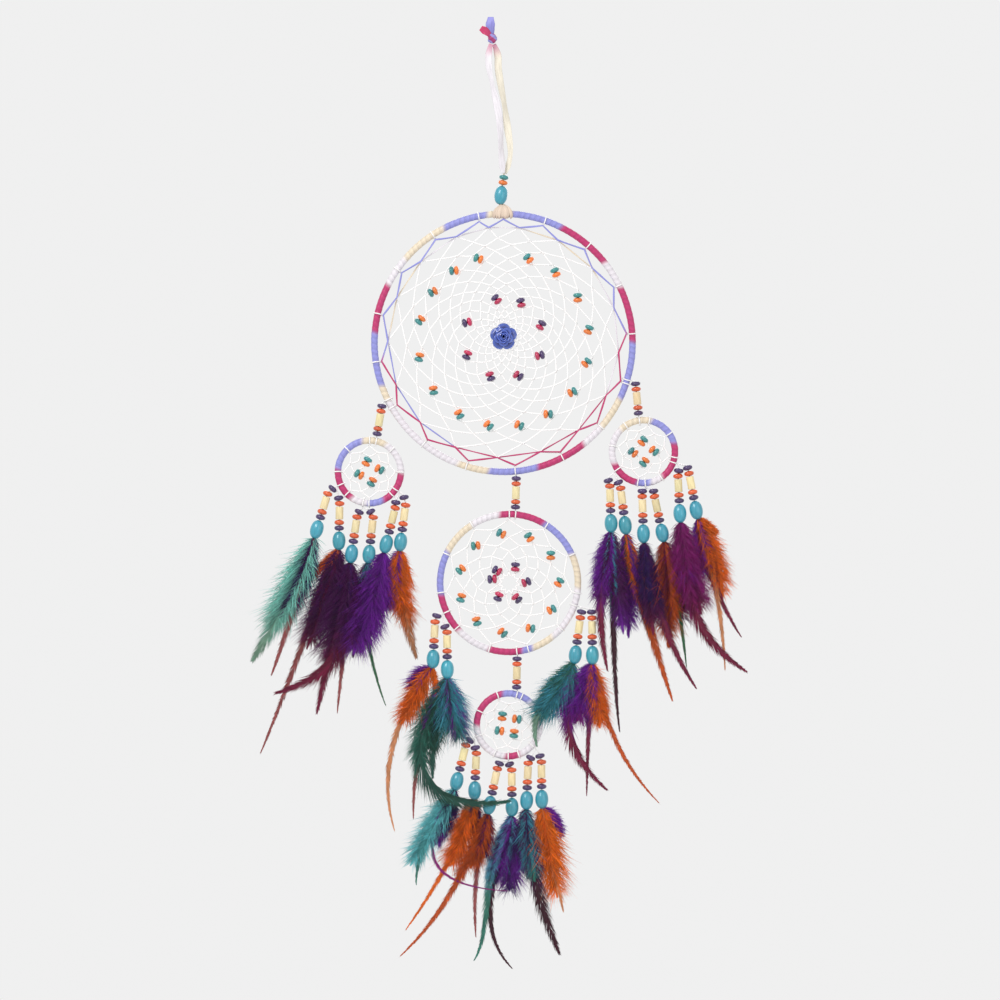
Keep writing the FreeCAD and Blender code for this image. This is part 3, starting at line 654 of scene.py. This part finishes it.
def findBeads(node):
    # each solid's own three directions; a bead's axis is the one whose extent differs from the other two
    found = []
    for cloud in looseSolids(node):
        middle = (cloud.max(0) + cloud.min(0)) / 2
        _, ways = np.linalg.eigh(np.cov((cloud - middle).T))
        spread = (cloud - middle) @ ways
        size = np.ptp(spread, axis=0) / mm
        centre = middle + ways @ ((spread.max(0) + spread.min(0)) / 2)
        odd = int(np.argmax([abs(size[k] - (size.sum() - size[k]) / 2) for k in range(3)]))
        length, width = size[odd], (size.sum() - size[odd]) / 2
        for kind, (wide, long) in beadKinds.items():
            if abs(width - wide) < 0.6 and abs(length - long) < 0.6:
                axis = ways[:, odd] * (-1 if ways[2, odd] > 0 else 1)
                found.append({"kind": kind, "centre": centre, "axis": axis, "width": width, "length": length})
    return found


def beadProfile(kind, width, length, bore=1.0):
    # outer line from the lower mouth up to the upper one, and back down the bore
    half, wide = length / 2, width / 2
    if kind == "tube":
        ease = 0.5
        quarter = [(bore + 0.1, half), (wide - ease, half), (wide - 0.12, half - 0.12), (wide, half - ease)]
        outer = [(x, -z) for x, z in quarter] + [(wide * 1.005, 0)] + quarter[::-1]
    elif kind == "disc":
        # two domes whose centres lie on the axis, joined by a round edge
        half = half + 0.07
        roundOff = 0.86 * half
        reach, gap = wide - roundOff, half - roundOff
        depth = (reach ** 2 - gap ** 2) / (2 * gap)
        last = math.atan2(depth, reach)
        t = np.linspace(-last, last, 8)
        x = np.linspace(bore, reach + roundOff * math.cos(last), 4)[:-1]
        dome = np.stack([x, np.sqrt((depth + half) ** 2 - x ** 2) - depth], -1)
        side = np.stack([reach + roundOff * np.cos(t), roundOff * np.sin(t)], -1)
        outer = np.concatenate([dome * [1, -1], side, dome[::-1]]).tolist()
    else:
        last = math.acos((bore / wide) ** 1.2)
        t = np.linspace(-last, last, 17)
        outer = np.stack([wide * np.cos(t) ** 0.83, half * np.sin(t)], -1).tolist()
    inner = [(bore * 0.96, outer[-1][1] * 0.8), (bore * 0.9, 0.0), (bore * 0.96, outer[0][1] * 0.8)]
    return np.array(outer + inner) * mm


beads = {
    "sides": {"disc": 20, "tube": 22, "oval": 30}, "plump": 1.08, "netPlump": 1.03,
    "purple": (dye(66, 44, 98), lacquer, "bead_purple"),
    "orange": (dye(226, 90, 34), lacquer, "bead_orange"),
    "amber": (dye(240, 122, 40), lacquer, "bead_orange"),
    "teal": (dye(52, 142, 142), lacquer, "bead_teal"),
    "magenta": (dye(196, 30, 84), lacquer, "bead_magenta"),
    "cream": (dye(240, 222, 172), plainWood, "bead_cream"),
    "turquoise": (dye(58, 158, 178), turquoiseStone, "bead_turquoise"),
}


def putBeads(prefix, found, colours, nodes, plump=1.0):
    # one piece for each colour, its beads of one kind turned together
    for colour in sorted(set(colours)):
        base, finish, slotName = beads[colour]
        mine = [b for b, c in zip(found, colours) if c == colour]
        parts = []
        for kind in sorted({b["kind"] for b in mine}):
            same = [b for b in mine if b["kind"] == kind]
            width, length = (np.mean([b[key] for b in same]) for key in ("width", "length"))
            vary = 1 + chance.normal(0, 0.07, (len(same), 1)) + chance.normal(0, 0.02, (len(same), 3))
            if kind == "disc":
                width, length = width * (0.25 + 0.75 * plump ** 0.4), length * plump
            centres, axes = (np.array([b[key] for b in same]) for key in ("centre", "axis"))
            parts.append(turned(beadProfile(kind, width, length), centres, axes, beads["sides"][kind], base * vary))
        putPiece(f"{prefix}_{colour}_beads", parts, finish, nodes)


def netBeads(node, rimName, outerColour, innerColour, lift=0.0):
    # beads sit in pairs; the one further from the hoop's middle has the outer colour
    found = findBeads(node)
    spots = np.array([b["centre"] for b in found])
    centre = rims[rimName]["centre"]
    reach = np.linalg.norm((spots - centre)[:, [0, 2]], axis=1)
    middle = centre + np.array([0, 0, lift * mm]) * (1 - reach / rims[rimName]["radius"])[:, None]
    reach = np.linalg.norm((spots - middle)[:, [0, 2]], axis=1)
    apart = np.linalg.norm(spots[:, None] - spots[None], axis=2) + np.eye(len(spots))
    partner = apart.argmin(1)
    colours = [outerColour if far else innerColour for far in reach > reach[partner]]
    putBeads(node.replace("_beads", ""), found, colours, [node], beads["netPlump"])


for size, lift in (("large", nets["large"]["lift"]), ("medium", nets["medium"]["lift"])):
    netBeads(size + "_outer_beads", size, "teal", "amber", lift)
    netBeads(size + "_inner_beads", size, "purple", "magenta", lift)
for name in ("left", "right", "bottom"):
    netBeads(name + "_web_beads", name, "teal", "amber")
for node, prefix, colour in (("hanger_teal_disc", "hanger_top", "teal"),
                             ("hanger_orange_disc", "hanger_middle", "amber"),
                             ("hanger_oval_bead", "hanger_oval", "turquoise")):
    putBeads(prefix, findBeads(node)[:1], [colour], [node])
print("net beads in place")

# The cord that carries the hanger beads, one piece on each of its two bodies
hangerCord = {"radius": 0.75, "stations": 16,
              "top": (9.1, 0, -105.0), "middle": (7.75, 0, -115.0), "foot": (5.6, 0, -131.2)}
for name, start, end, node in (("hanger_disc_cord", "top", "middle", "hanger_orange_disc"),
                               ("hanger_oval_cord", "middle", "foot", "hanger_oval_bead")):
    line = evenly(np.array([hangerCord[start], hangerCord[end]]) * mm, hangerCord["stations"])[0]
    cord = tube(line, hangerCord["radius"] * mm, 8)
    putPiece(name, dyed([cord], creamDye), colourThread, [node])


def strandsOf(found):
    # each tube bead starts a strand; a disc belongs to the strand whose line it lies nearest, sorted from the top
    strands = [{"tube": b, "disc": [], "oval": []} for b in found if b["kind"] == "tube"]
    for b in found:
        if b["kind"] != "tube":
            away = [np.linalg.norm(np.cross(b["centre"] - s["tube"]["centre"], s["tube"]["axis"])) for s in strands]
            strands[int(np.argmin(away))][b["kind"]].append(b)
    for s in strands:
        s["disc"].sort(key=lambda b: (b["centre"] - s["tube"]["centre"]) @ s["tube"]["axis"])
        s["order"] = s["disc"][:2] + [s["tube"]] + s["disc"][2:] + s["oval"]
    return sorted(strands, key=lambda s: s["tube"]["centre"][0])


ties = {
    "left_connector": ("large", 243.7, "left", 12.0), "right_connector": ("large", 106.6, "right", 351.9),
    "medium_connector": ("large", 174.3, "medium", 5.2), "bottom_connector": ("medium", 173.3, "bottom", 15.3),
    "left_tassel_1": ("left", 245.4), "left_tassel_2": ("left", 191.0), "left_tassel_3": ("left", 123.6),
    "right_tassel_1": ("right", 234.5), "right_tassel_2": ("right", 176.4), "right_tassel_3": ("right", 109.5),
    "medium_tassel_1": ("medium", 244.9), "medium_tassel_2": ("medium", 108.5),
    "bottom_tassel_1": ("bottom", 247.7), "bottom_tassel_2": ("bottom", 179.4), "bottom_tassel_3": ("bottom", 129.9),
}
strand = {"colours": ("purple", "orange", "cream", "orange", "purple", "turquoise"), "knotReach": 4.3, "endReach": 3.9}
strandsByBody = {}
for body, tie in ties.items():
    node = body + "_beads"
    found = findBeads(node)
    strands = strandsByBody[body] = strandsOf(found)
    colourOf = {id(b): colour for s in strands for b, colour in zip(s["order"], strand["colours"])}
    plump = beads["plump"] if "tassel" in body else 1.0
    putBeads(body, found, [colourOf[id(b)] for b in found], [node], plump)
    upper = rims[tie[0]]
    parts = []
    for s in strands:
        line = [onRim(upper, tie[1], upper["radius"] + strand["knotReach"] * mm)]
        for b in s["order"]:
            half = b["axis"] * b["length"] / 2 * mm
            line += [b["centre"] - half, b["centre"] + half]
        if len(tie) == 4:
            lower = rims[tie[2]]
            line.append(onRim(lower, tie[3], lower["radius"] + strand["endReach"] * mm))
        else:
            line[-1] = s["oval"][0]["centre"]
        parts.append(tube(evenly(np.array(line), 60)[0], nets["thread"] * mm, 8))
    putPiece(body + "_threads", dyed(parts, threadDye), thread, [node])
print("strands threaded")

# Rose

rose = {
    # colour is the resin's own blue; the darker and lighter blues below it are painted shade in the rose's hollows and
    # painted light on the petal lips
    "colour": dye(28, 58, 176), "shadeBlue": dye(8, 18, 100), "light": dye(84, 124, 232),
    "rings": [  # petals, reach, half angle, height at the lip, cup, first angle, lip curl
        (5, 11.2, 0.74, 1.3, 1.2, 0.0, 1.1), (5, 8.0, 0.78, 3.2, 1.8, 36.0, 0.8),
        (4, 5.6, 0.95, 4.9, 1.8, 10.0, 0.4), (3, 3.5, 1.25, 6.2, 1.4, 50.0, 0.1), (2, 1.9, 1.6, 6.9, 0.7, 20.0, 0.0),
    ],
    "core": [(0.05, 7.2), (1.2, 6.6), (1.9, 4.5), (4.5, 1.6), (6.5, 0.6), (6.5, 0.0), (0.05, 0.0)],
    "thickness": 0.7, "sink": 0.8, "rows": 15, "columns": 17,
}


def petal(centre, first, reach, halfAngle, height, cup, curl):
    # across u and out v: angle = first + u half angle, radius = reach v^0.8, height rises with v and curls at the lip
    rows, columns = rose["rows"], rose["columns"]
    u, v = np.linspace(-1, 1, columns), np.linspace(0, 1, rows)[:, None]
    out = reach * v ** 0.8 * (1 - 0.28 * np.abs(u) ** 2.5)
    angle = first + u * halfAngle * (0.35 + 0.65 * v ** 0.6)
    rise = height * smooth(0, 0.75, v) ** (1 / cup) - curl * smooth(0.72, 1.0, v) - 0.35 * (1 - np.abs(u)) * v
    ripple = 0.18 * np.sin(7 * u + first * 3) * v ** 3
    top = xyz(out * np.sin(angle), -(rise + ripple), out * np.cos(angle))
    under = top + np.array([0, rose["thickness"], 0]) * (0.25 + 0.75 * (1 - v[..., None]))
    points = centre + np.concatenate([top.reshape(-1, 3), under.reshape(-1, 3)]) * mm
    numbers = np.arange(rows * columns).reshape(rows, columns)
    edge = np.concatenate([numbers[0], numbers[1:, -1], numbers[-1, -2::-1], numbers[-2:0:-1, 0]])
    after = np.roll(edge, -1)
    sheet = gridFaces(rows, columns, False, False)
    wall = np.stack([edge, edge + numbers.size, after + numbers.size, after], -1)
    # painted shade and painted light: each petal darker at its base in the rose's hollow and lighter at its lip, and
    # darker still the lower it lies in the rose
    lip = smooth(0.55, 1.0, v)[..., None]
    tint = (rose["shadeBlue"] * (1 - lip) + rose["light"] * lip) * 0.62 + rose["colour"] * 0.38
    tint = tint * (0.7 + 0.4 * np.clip(rise / 7, 0, 1)[..., None])
    return shape(points, [sheet[:, ::-1], sheet + numbers.size, wall], np.tile(tint.reshape(-1, 3), (2, 1)))


def roseParts():
    # rings of petals about the net's raised middle, over a turned core
    centre = rims["large"]["centre"] * [1, 0, 1] + [0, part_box("rose")[1][1], nets["large"]["lift"] * mm]
    sunk = centre - [0, rose["sink"] * mm, 0]
    parts = [petal(sunk, math.radians(first + 360 * k / count), reach, halfAngle, height, cup, curl)
             for count, reach, halfAngle, height, cup, first, curl in rose["rings"] for k in range(count)]
    # the core takes the darkest blue, darker still: painted shade deep in the middle of the rose
    core = turned(np.array(rose["core"]) * mm, centre[None], np.array([[0, -1.0, 0]]), 24, rose["shadeBlue"][None] * 0.8)
    return parts + [core]


putPiece("rose_petals", roseParts(), roseResin, ["rose"])
print("rose cast")

# Tie at the top of the large rim: flat bands spread from the cord, go over the rim and come up behind it

bow = {
    "bands": [-8.2, -6.0, -3.9, -2.0, 0.0, 1.9, 3.9, 6.6], "half": 1.3, "flat": 0.24, "reach": 3.55,
    "knot": (2.0, 1.9, 2.0), "knotZ": 6.0, "colour": dye(230, 208, 188),
}


def bowParts():
    # each band goes from the knot down in front, under the rim by an arc, and up again behind; then the knot itself
    top = rims["large"]["centre"] + np.array([0, 0, rims["large"]["radius"]])
    a = np.radians(np.linspace(200, 340, 15))
    parts = []
    for k, x in enumerate(bow["bands"]):
        reach = bow["reach"] + 0.22 * (k % 3)
        ends = np.array([[0.16 * x, -1.1, 7.6 - 0.1 * k], [0.5 * x, -2.5, 5.6], [0.85 * x, -3.6, 2.6]])
        line = np.concatenate([ends, xyz(x, reach * np.cos(a), reach * np.sin(a)), ends[::-1] * [1, -1, 1]])
        line = evenly(line * mm, 60)[0]
        line = np.stack([np.convolve(np.pad(c, 3, "edge"), np.ones(7) / 7, "valid") for c in line.T], -1)
        wide = bow["half"] * mm * (0.55 + 0.45 * smooth(-9.0, -2.0, -line[:, 2] / mm))
        across = np.broadcast_to([1.0, 0.0, 0.12 * x], line.shape)
        parts.append(tube(top + line, wide, 12, flat=bow["flat"], across=across, number=float(k)))
    knotCentre = top + np.array([0, 0, bow["knotZ"]]) * mm
    points, faces, _, _ = foldedBall(knotCentre, np.array(bow["knot"]) * mm,
                                     lambda u, v: 1 + 0.1 * np.sin(4 * v + 3 * u), 16, 24, 0.05)
    parts.append(shape(points, faces))
    for k, part in enumerate(parts):
        dyed([part], bow["colour"] * (0.9 + 0.06 * (k % 3)))
    return parts


putPiece("large_ribbon_bow", bowParts(), creamSatin, ["large_bow"])
print("bow tied")

# Feathers: a quill, soft down near the bead, and barbs that lie close to the quill towards the tip

dyes = {
    "mint": (142, 222, 208), "sage": (122, 158, 136), "plum": (84, 16, 88), "navy": (58, 24, 96),
    "maroon": (122, 28, 62), "orange": (240, 112, 30), "brick": (158, 84, 84), "soot": (66, 24, 40),
    "teal": (70, 156, 178), "pine": (62, 128, 112), "violet": (122, 34, 164), "tan": (176, 120, 84),
    "rust": (200, 86, 32), "magenta": (146, 30, 120), "moss": (44, 88, 76), "peach": (222, 150, 104),
    "aqua": (112, 204, 210), "azure": (104, 176, 210), "flame": (250, 124, 30), "green": (54, 106, 72),
    "black": (44, 34, 40),
}
dyes = {name: dye(*value) for name, value in dyes.items()}
feathers = {
    "quill": 0.34, "puff": 1.55, "vaneWidth": 1.35, "stations": 26, "inBead": 1.6,
    "downHairs": (16, 130), "vaneHairs": 3.4,  # hairs for each mm, and for the down a number more
    "tilt": {"front": -3.0, "back": 3.0, "lap": -6.5}, "steps": (0.0, -1.0, 1.0, 0.5, -0.5, 1.6),
    # strand by strand from the left: tilt, then feathers as (control points from the bead in mm, down half width,
    # vane half width, share of down, down colour, tip colour where it differs)
    "left_tassel_1": [
        ("front", [
            ([(-20, -52), (-52, -104)], 13, 8, 0.68, "mint", "sage"),
            ([(-16, -60), (-36, -116)], 3, 4, 0.4, "plum", "brick"),
            ([(-8, -40), (-26, -70)], 9, 4, 0.9, "navy", "plum")]),
        ("back", [
            ([(-24, -60), (-44, -120), (-66, -172)], 5, 3.4, 0.35, "maroon", "brick"),
            ([(-12, -44), (-27, -84)], 12, 4, 0.9, "plum", "maroon"), ([(-8, -10), (-29, -30)], 4, 1, 0.9, "orange"),
            ([(-2, -30), (-6, -62)], 10, 3, 0.95, "plum")])],
    "left_tassel_2": [
        ("front", [
            ([(-14, -62), (-28, -127)], 13, 6, 0.62, "plum", "maroon"),
            ([(4, -66), (-8, -94), (-64, -110)], 10, 8, 0.4, "plum", "maroon"),
            ([(-4, -60), (-11, -127)], 8, 3, 0.6, "plum", "brick"),
            ([(-10, -46), (-20, -92)], 7, 6, 0.5, "navy", "black")]),
        ("back", [
            ([(-8, -62), (15, -121)], 3, 2.4, 0.3, "pine", "green"), ([(-2, -22), (-9, -43)], 6, 2, 0.95, "teal"),
            ([(-4, -40), (-13, -80)], 12, 4, 0.9, "plum")])],
    "left_tassel_3": [
        ("front", [
            ([(-10, -40), (-26, -86)], 14, 5, 0.92, "violet"), ([(-4, -34), (-12, -72)], 11, 4, 0.95, "violet")]),
        ("back", [
            ([(0, -44), (14, -91)], 9, 6, 0.66, "orange", "tan"), ([(4, -12), (12, -31)], 3, 2, 0.6, "orange"),
            ([(-8, -24), (-12, -50)], 8, 3, 0.95, "violet"), ([(-3, -24), (-2, -52)], 8, 3, 0.95, "orange")])],
    "right_tassel_1": [
        ("front", [
            ([(2, -70), (1, -120), (7, -168)], 4, 3.4, 0.3, "teal", "soot"),
            ([(-16, -56), (-3, -117)], 8, 5, 0.5, "violet", "maroon"),
            ([(-1, -20), (-2, -42)], 5, 2, 0.95, "azure", "teal"),
            ([(-6, -24), (-9, -56)], 8, 3, 0.9, "violet", "maroon"),
            ([(2, -36), (10, -86)], 9, 4, 0.9, "plum", "violet")]),
        ("back", [
            ([(8, -60), (27, -104)], 4, 3, 0.4, "moss", "green"),
            ([(16, -72), (39, -141)], 6, 5, 0.45, "orange", "rust"), ([(2, -44), (2, -88)], 10, 4, 0.85, "violet")])],
    "right_tassel_2": [
        ("front", [
            ([(10, -60), (24, -92), (44, -123)], 6, 4, 0.4, "navy", "maroon"),
            ([(1, -24), (3, -50)], 7, 3, 0.95, "navy"), ([(4, -38), (8, -78)], 9, 4, 0.85, "plum", "maroon")]),
        ("back", [
            ([(14, -54), (19, -106)], 4, 2.6, 0.4, "maroon", "green"), ([(4, -44), (4, -90)], 11, 6, 0.85, "rust"),
            ([(6, -34), (15, -70)], 12, 4, 0.9, "maroon", "plum")])],
    "right_tassel_3": [
        ("front", [
            ([(2, -72), (16, -100), (56, -126)], 8, 6, 0.4, "magenta", "maroon"),
            ([(2, -24), (6, -50)], 11, 4, 0.9, "magenta", "violet"),
            ([(8, -40), (17, -78)], 12, 5, 0.9, "magenta", "maroon")]),
        ("back", [
            ([(10, -60), (37, -100)], 5, 3, 0.5, "maroon"), ([(20, -62), (23, -128)], 4, 3, 0.4, "orange", "peach"),
            ([(18, -30), (21, -68)], 9, 4, 0.92, "orange"), ([(8, -4), (18, -15)], 3, 1, 0.9, "orange"),
            ([(2, -24), (3, -48)], 7, 3, 0.95, "violet")])],
    "medium_tassel_1": [
        ("lap", [
            ([(-52, -70), (-31, -137)], 4, 3, 0.3, "orange", "peach"),
            ([(-12, -18), (-26, -48)], 10, 4, 0.92, "orange"), ([(2, -14), (5, -27)], 3, 1, 0.9, "orange"),
            ([(-12, -4), (-19, -18)], 6, 2, 0.95, "violet")]),
        ("lap", [
            ([(-50, -80), (-10, -115), (54, -102)], 9, 8, 0.36, "pine", "moss"),
            ([(2, -20), (5, -44)], 14, 4, 0.95, "teal", "pine"),
            ([(-30, -60), (-28, -118)], 5, 3, 0.4, "violet", "brick"),
            ([(6, -26), (10, -52)], 9, 3, 0.95, "violet", "pine"), ([(-14, -40), (-12, -84)], 9, 5, 0.7, "moss")])],
    "medium_tassel_2": [
        ("lap", [
            ([(-10, -26), (-34, -50)], 12, 5, 0.85, "teal", "pine"),
            ([(-40, -34), (-31, -70)], 5, 4, 0.5, "pine", "sage"),
            ([(-6, -16), (-20, -36)], 10, 3, 0.95, "pine", "moss")]),
        ("lap", [
            ([(10, -50), (22, -82), (56, -117)], 5, 2.6, 0.3, "orange", "rust"),
            ([(-46, -56), (13, -106)], 8, 6, 0.45, "violet", "maroon"),
            ([(-4, -56), (-5, -111)], 5, 2.6, 0.45, "violet", "maroon"), ([(4, -24), (6, -54)], 9, 4, 0.92, "orange"),
            ([(-6, -24), (-14, -50)], 10, 4, 0.9, "violet", "magenta")])],
    "bottom_tassel_1": [
        ("front", [
            ([(-16, -26), (-37, -64)], 10, 4, 0.94, "aqua"), ([(-34, -54), (-32, -80)], 4, 2, 0.6, "aqua", "pine"),
            ([(-2, -24), (-16, -47)], 7, 3, 0.95, "navy", "violet"),
            ([(-40, -62), (-12, -82), (46, -85)], 3, 1.6, 0.2, "violet", "magenta")]),
        ("back", [
            ([(-14, -50), (-58, -111)], 6, 3, 0.4, "orange"), ([(-8, -26), (-20, -57)], 11, 4, 0.92, "orange"),
            ([(2, -14), (2, -32)], 5, 2, 0.95, "plum")])],
    "bottom_tassel_2": [
        ("front", [
            ([(-22, -56), (-40, -88), (-74, -120)], 5, 3, 0.4, "rust"), ([(-4, -22), (-15, -46)], 9, 4, 0.92, "rust"),
            ([(-14, -50), (-10, -104)], 4, 3, 0.4, "plum", "brick"), ([(0, -18), (-4, -37)], 6, 2, 0.95, "plum")]),
        ("back", [
            ([(-20, -60), (-28, -100), (1, -129)], 6, 3, 0.35, "navy", "soot"),
            ([(-30, -50), (-14, -92), (-32, -122)], 5, 3.4, 0.4, "azure", "pine"),
            ([(-4, -24), (-13, -58)], 7, 3, 0.9, "azure", "pine"),
            ([(0, -30), (-2, -64)], 11, 4, 0.95, "violet", "navy")])],
    "bottom_tassel_3": [
        ("front", [
            ([(2, -62), (28, -122)], 8, 7, 0.45, "plum", "soot"), ([(0, -28), (7, -61)], 8, 4, 0.92, "teal", "pine"),
            ([(-4, -24), (-6, -52)], 8, 3, 0.95, "navy", "violet")]),
        ("back", [
            ([(4, -34), (13, -76)], 13, 4, 0.93, "flame"), ([(10, -50), (18, -88)], 5, 3, 0.6, "orange", "peach"),
            ([(14, -6), (17, -26)], 4, 1, 0.95, "violet"), ([(4, -20), (6, -52)], 10, 3, 0.95, "flame")])],
}


def bezier(keys, t):
    # Bernstein sum of the control points, as x and z lists
    order = len(keys) - 1
    weights = np.stack([math.comb(order, k) * t ** k * (1 - t) ** (order - k) for k in range(order + 1)])
    return keys[:, 0] @ weights, keys[:, 1] @ weights


def barbs(base, along, side, lean, reach, width, curl, tint, depth):
    # fine tapering hairs: at share s the hair stands at base + reach (s way + curl s^2 bend), and ends in a point
    count = len(base)
    way = unit(along * np.cos(lean)[:, None] + side * np.sin(lean)[:, None])
    bend = unit(along + chance.normal(0, 0.25, (count, 3)) * [1, 0.5, 1])
    shares = np.array([0.0, 0.55, 1.0])[:, None]
    reach, curl = reach[:, None, None], curl[:, None, None]
    line = base[:, None] + reach * (shares * way[:, None] + curl * shares ** 2 * bend[:, None])
    across = unit(np.cross(way, depthWay + 0.02))
    out = np.cross(across, way)
    corner = (np.arange(3) * full / 3 + 0.3)[:, None]
    ring = np.cos(corner) * across[:, None, None] + depth * np.sin(corner) * out[:, None, None]
    taper = np.array([0.85, 1.0])[:, None, None]
    body = line[:, :2, None] + ring * taper * width[:, None, None, None]
    points = np.concatenate([body.reshape(count, 6, 3), line[:, 2:]], 1)
    tip = np.array([[3, 4, 6], [4, 5, 6], [5, 3, 6], [2, 1, 0]])
    move = np.arange(count)[:, None, None] * 7
    quads, triangles = (gridFaces(2, 3)[None] + move).reshape(-1, 4), (tip[None] + move).reshape(-1, 3)
    # painted shade darkens each hair at its root, where the hairs crowd by the quill, and painted light brightens its
    # tip
    rootShadeTipLight = np.array([0.8] * 3 + [1.0] * 3 + [1.14])[:, None]
    return shape(points, [quads, triangles], tint[:, None] * rootShadeTipLight)


def feather(root, tiltAngle, keys, down, vane, downShare, downDye, tipDye=None):
    # the quill follows the control points from the bead and leans out of the plane by the tilt
    slope = math.tan(math.radians(tiltAngle))
    keys = np.array([(0, 0)] + keys, float)
    colours = dyes[downDye], dyes[tipDye or downDye]
    fade = downShare * 0.6, min(1.0, downShare * 1.25)

    def spot(share):
        # root + the quill's x and z at this share, and the tilt's y = -z tan(tilt)
        x, z = bezier(keys, share)
        return root + xyz(x, -z * slope, z) * mm

    def spread(share, blur):
        # where each hair stands, which way the quill runs there, the left or right of it in turn, and its colour
        tipShare = smooth(*fade, share)[:, None]
        tint = (colours[0] * (1 - tipShare) + colours[1] * tipShare) * np.exp(chance.normal(0, blur, (len(share), 1)))
        base = spot(share)
        along = unit(spot(share + 0.01) - base)
        return base, along, unit(np.cross(along, depthWay)) * np.where(np.arange(len(share)) % 2, 1, -1)[:, None], tint

    line = spot(np.linspace(0, 1, feathers["stations"]))
    length = runOf(line)[-1] / mm
    thin = feathers["quill"] * mm * np.linspace(1.05, 0.15, feathers["stations"])
    parts = [tube(line, thin, tint=colours[1] * 0.75 + 0.03)]
    # down: soft hairs that stand out all round, fullest past the middle
    each, more = feathers["downHairs"]
    count = int(length * downShare * each) + more
    share = chance.beta(1.1, 1.35, count) * downShare
    base, along, across, tint = spread(share, 0.2)
    spin = np.clip(chance.normal(0, 0.4, count), -0.8, 0.8)[:, None]
    side = unit(across * np.cos(spin) + depthWay * np.sin(spin))
    place = share / downShare
    fullness = (0.55 + 0.45 * smooth(0, 0.28, place)) * (1 - 0.4 * smooth(0.75, 1.0, place))
    reach = down * feathers["puff"] * mm * fullness * chance.uniform(0.5, 1.25, count)
    lean = chance.normal(0.78, 0.27, count)
    width, curl = (chance.uniform(low, high, count) for low, high in ((0.15, 0.28), (0.05, 0.6)))
    parts.append(barbs(base, along, side, lean, reach, width * mm, curl, tint, 1.0))
    # vane: flat hairs close to the quill, shorter and shorter towards the tip
    start = downShare * 0.55
    count = int(length * (1 - start) * feathers["vaneHairs"])
    share = np.linspace(start, 0.985, count)
    base, along, across, tint = spread(share, 0.12)
    side = unit(across + depthWay * chance.normal(0, 0.12, (count, 1)))
    place = (share - start) / (1 - start)
    envelope = (0.55 + 0.45 * smooth(0, 0.25, place)) * (1.02 - place) ** 0.7
    reach = vane * feathers["vaneWidth"] * mm * envelope / math.sin(0.42) * chance.uniform(0.7, 1.1, count)
    lean, width, curl = chance.normal(0.36, 0.05, count), np.full(count, 0.28), np.full(count, 0.22)
    parts.append(barbs(base, along, side, lean, reach, width * mm, curl, tint, 0.35))
    return parts


for body in [body for body in ties if body in feathers]:
    parts = []
    for s, (lay, rows) in zip(strandsByBody[body], feathers[body]):
        oval = s["oval"][0]
        root = oval["centre"] + oval["axis"] * (oval["length"] / 2 - feathers["inBead"]) * mm
        for step, row in zip(feathers["steps"], rows):
            parts += feather(root, feathers["tilt"][lay] + step, *row)
    putPiece(body + "_plumes", parts, plume, [body + "_feathers"])
print("feathers set")

# Floor, light and surroundings

floorDisc = {"z": -0.86, "radius": 0.5, "corners": 96, "colour": (0.86, 0.86, 0.86, 1)}
a = np.arange(floorDisc["corners"]) * full / floorDisc["corners"]
rimPoints = xyz(floorDisc["radius"] * np.cos(a), floorDisc["radius"] * np.sin(a), floorDisc["z"])
floorMesh = bpy.data.meshes.new("floor")
floorMesh.from_pydata(rimPoints.tolist(), [], [tuple(range(floorDisc["corners"]))])
floorFinish, floorTree, floorShader = newFinish("paleFloor", Roughness=0.8)
shade(floorTree, floorShader, grain(floorTree, 30.0), 0.97, 1.0, floorDisc["colour"])
floorMesh.materials.append(floorFinish)
floor = bpy.data.objects.new("floor", floorMesh)
bpy.context.scene.collection.objects.link(floor)

studio = [  # place, size and power
    ("keyLight", (-1.0, -1.6, 0.9), 1.0, 26.0), ("fillLight", (1.2, -1.6, -0.1), 1.4, 6.0),
    ("backLight", (0.2, 1.5, 0.4), 1.2, 8.0),
]
for name, spot, size, power in studio:
    lamp = bpy.data.lights.new(name, "AREA")
    lamp.size = size
    lamp.energy = power
    holder = bpy.data.objects.new(name, lamp)
    holder.location = spot
    aim = np.array(camera["aim"]) - np.array(spot)
    holder.rotation_euler = (math.atan2(math.hypot(aim[0], aim[1]), -aim[2]), 0, math.atan2(-aim[0], aim[1]))
    bpy.context.scene.collection.objects.link(holder)
world = bpy.data.worlds.new("surroundings")
world.use_nodes = True
background = world.node_tree.nodes["Background"].inputs
background["Color"].default_value = (1.0, 1.0, 1.0, 1)
background["Strength"].default_value = 0.87
bpy.context.scene.world = world
bpy.context.scene.view_settings.view_transform = "Standard"
print("stage set")
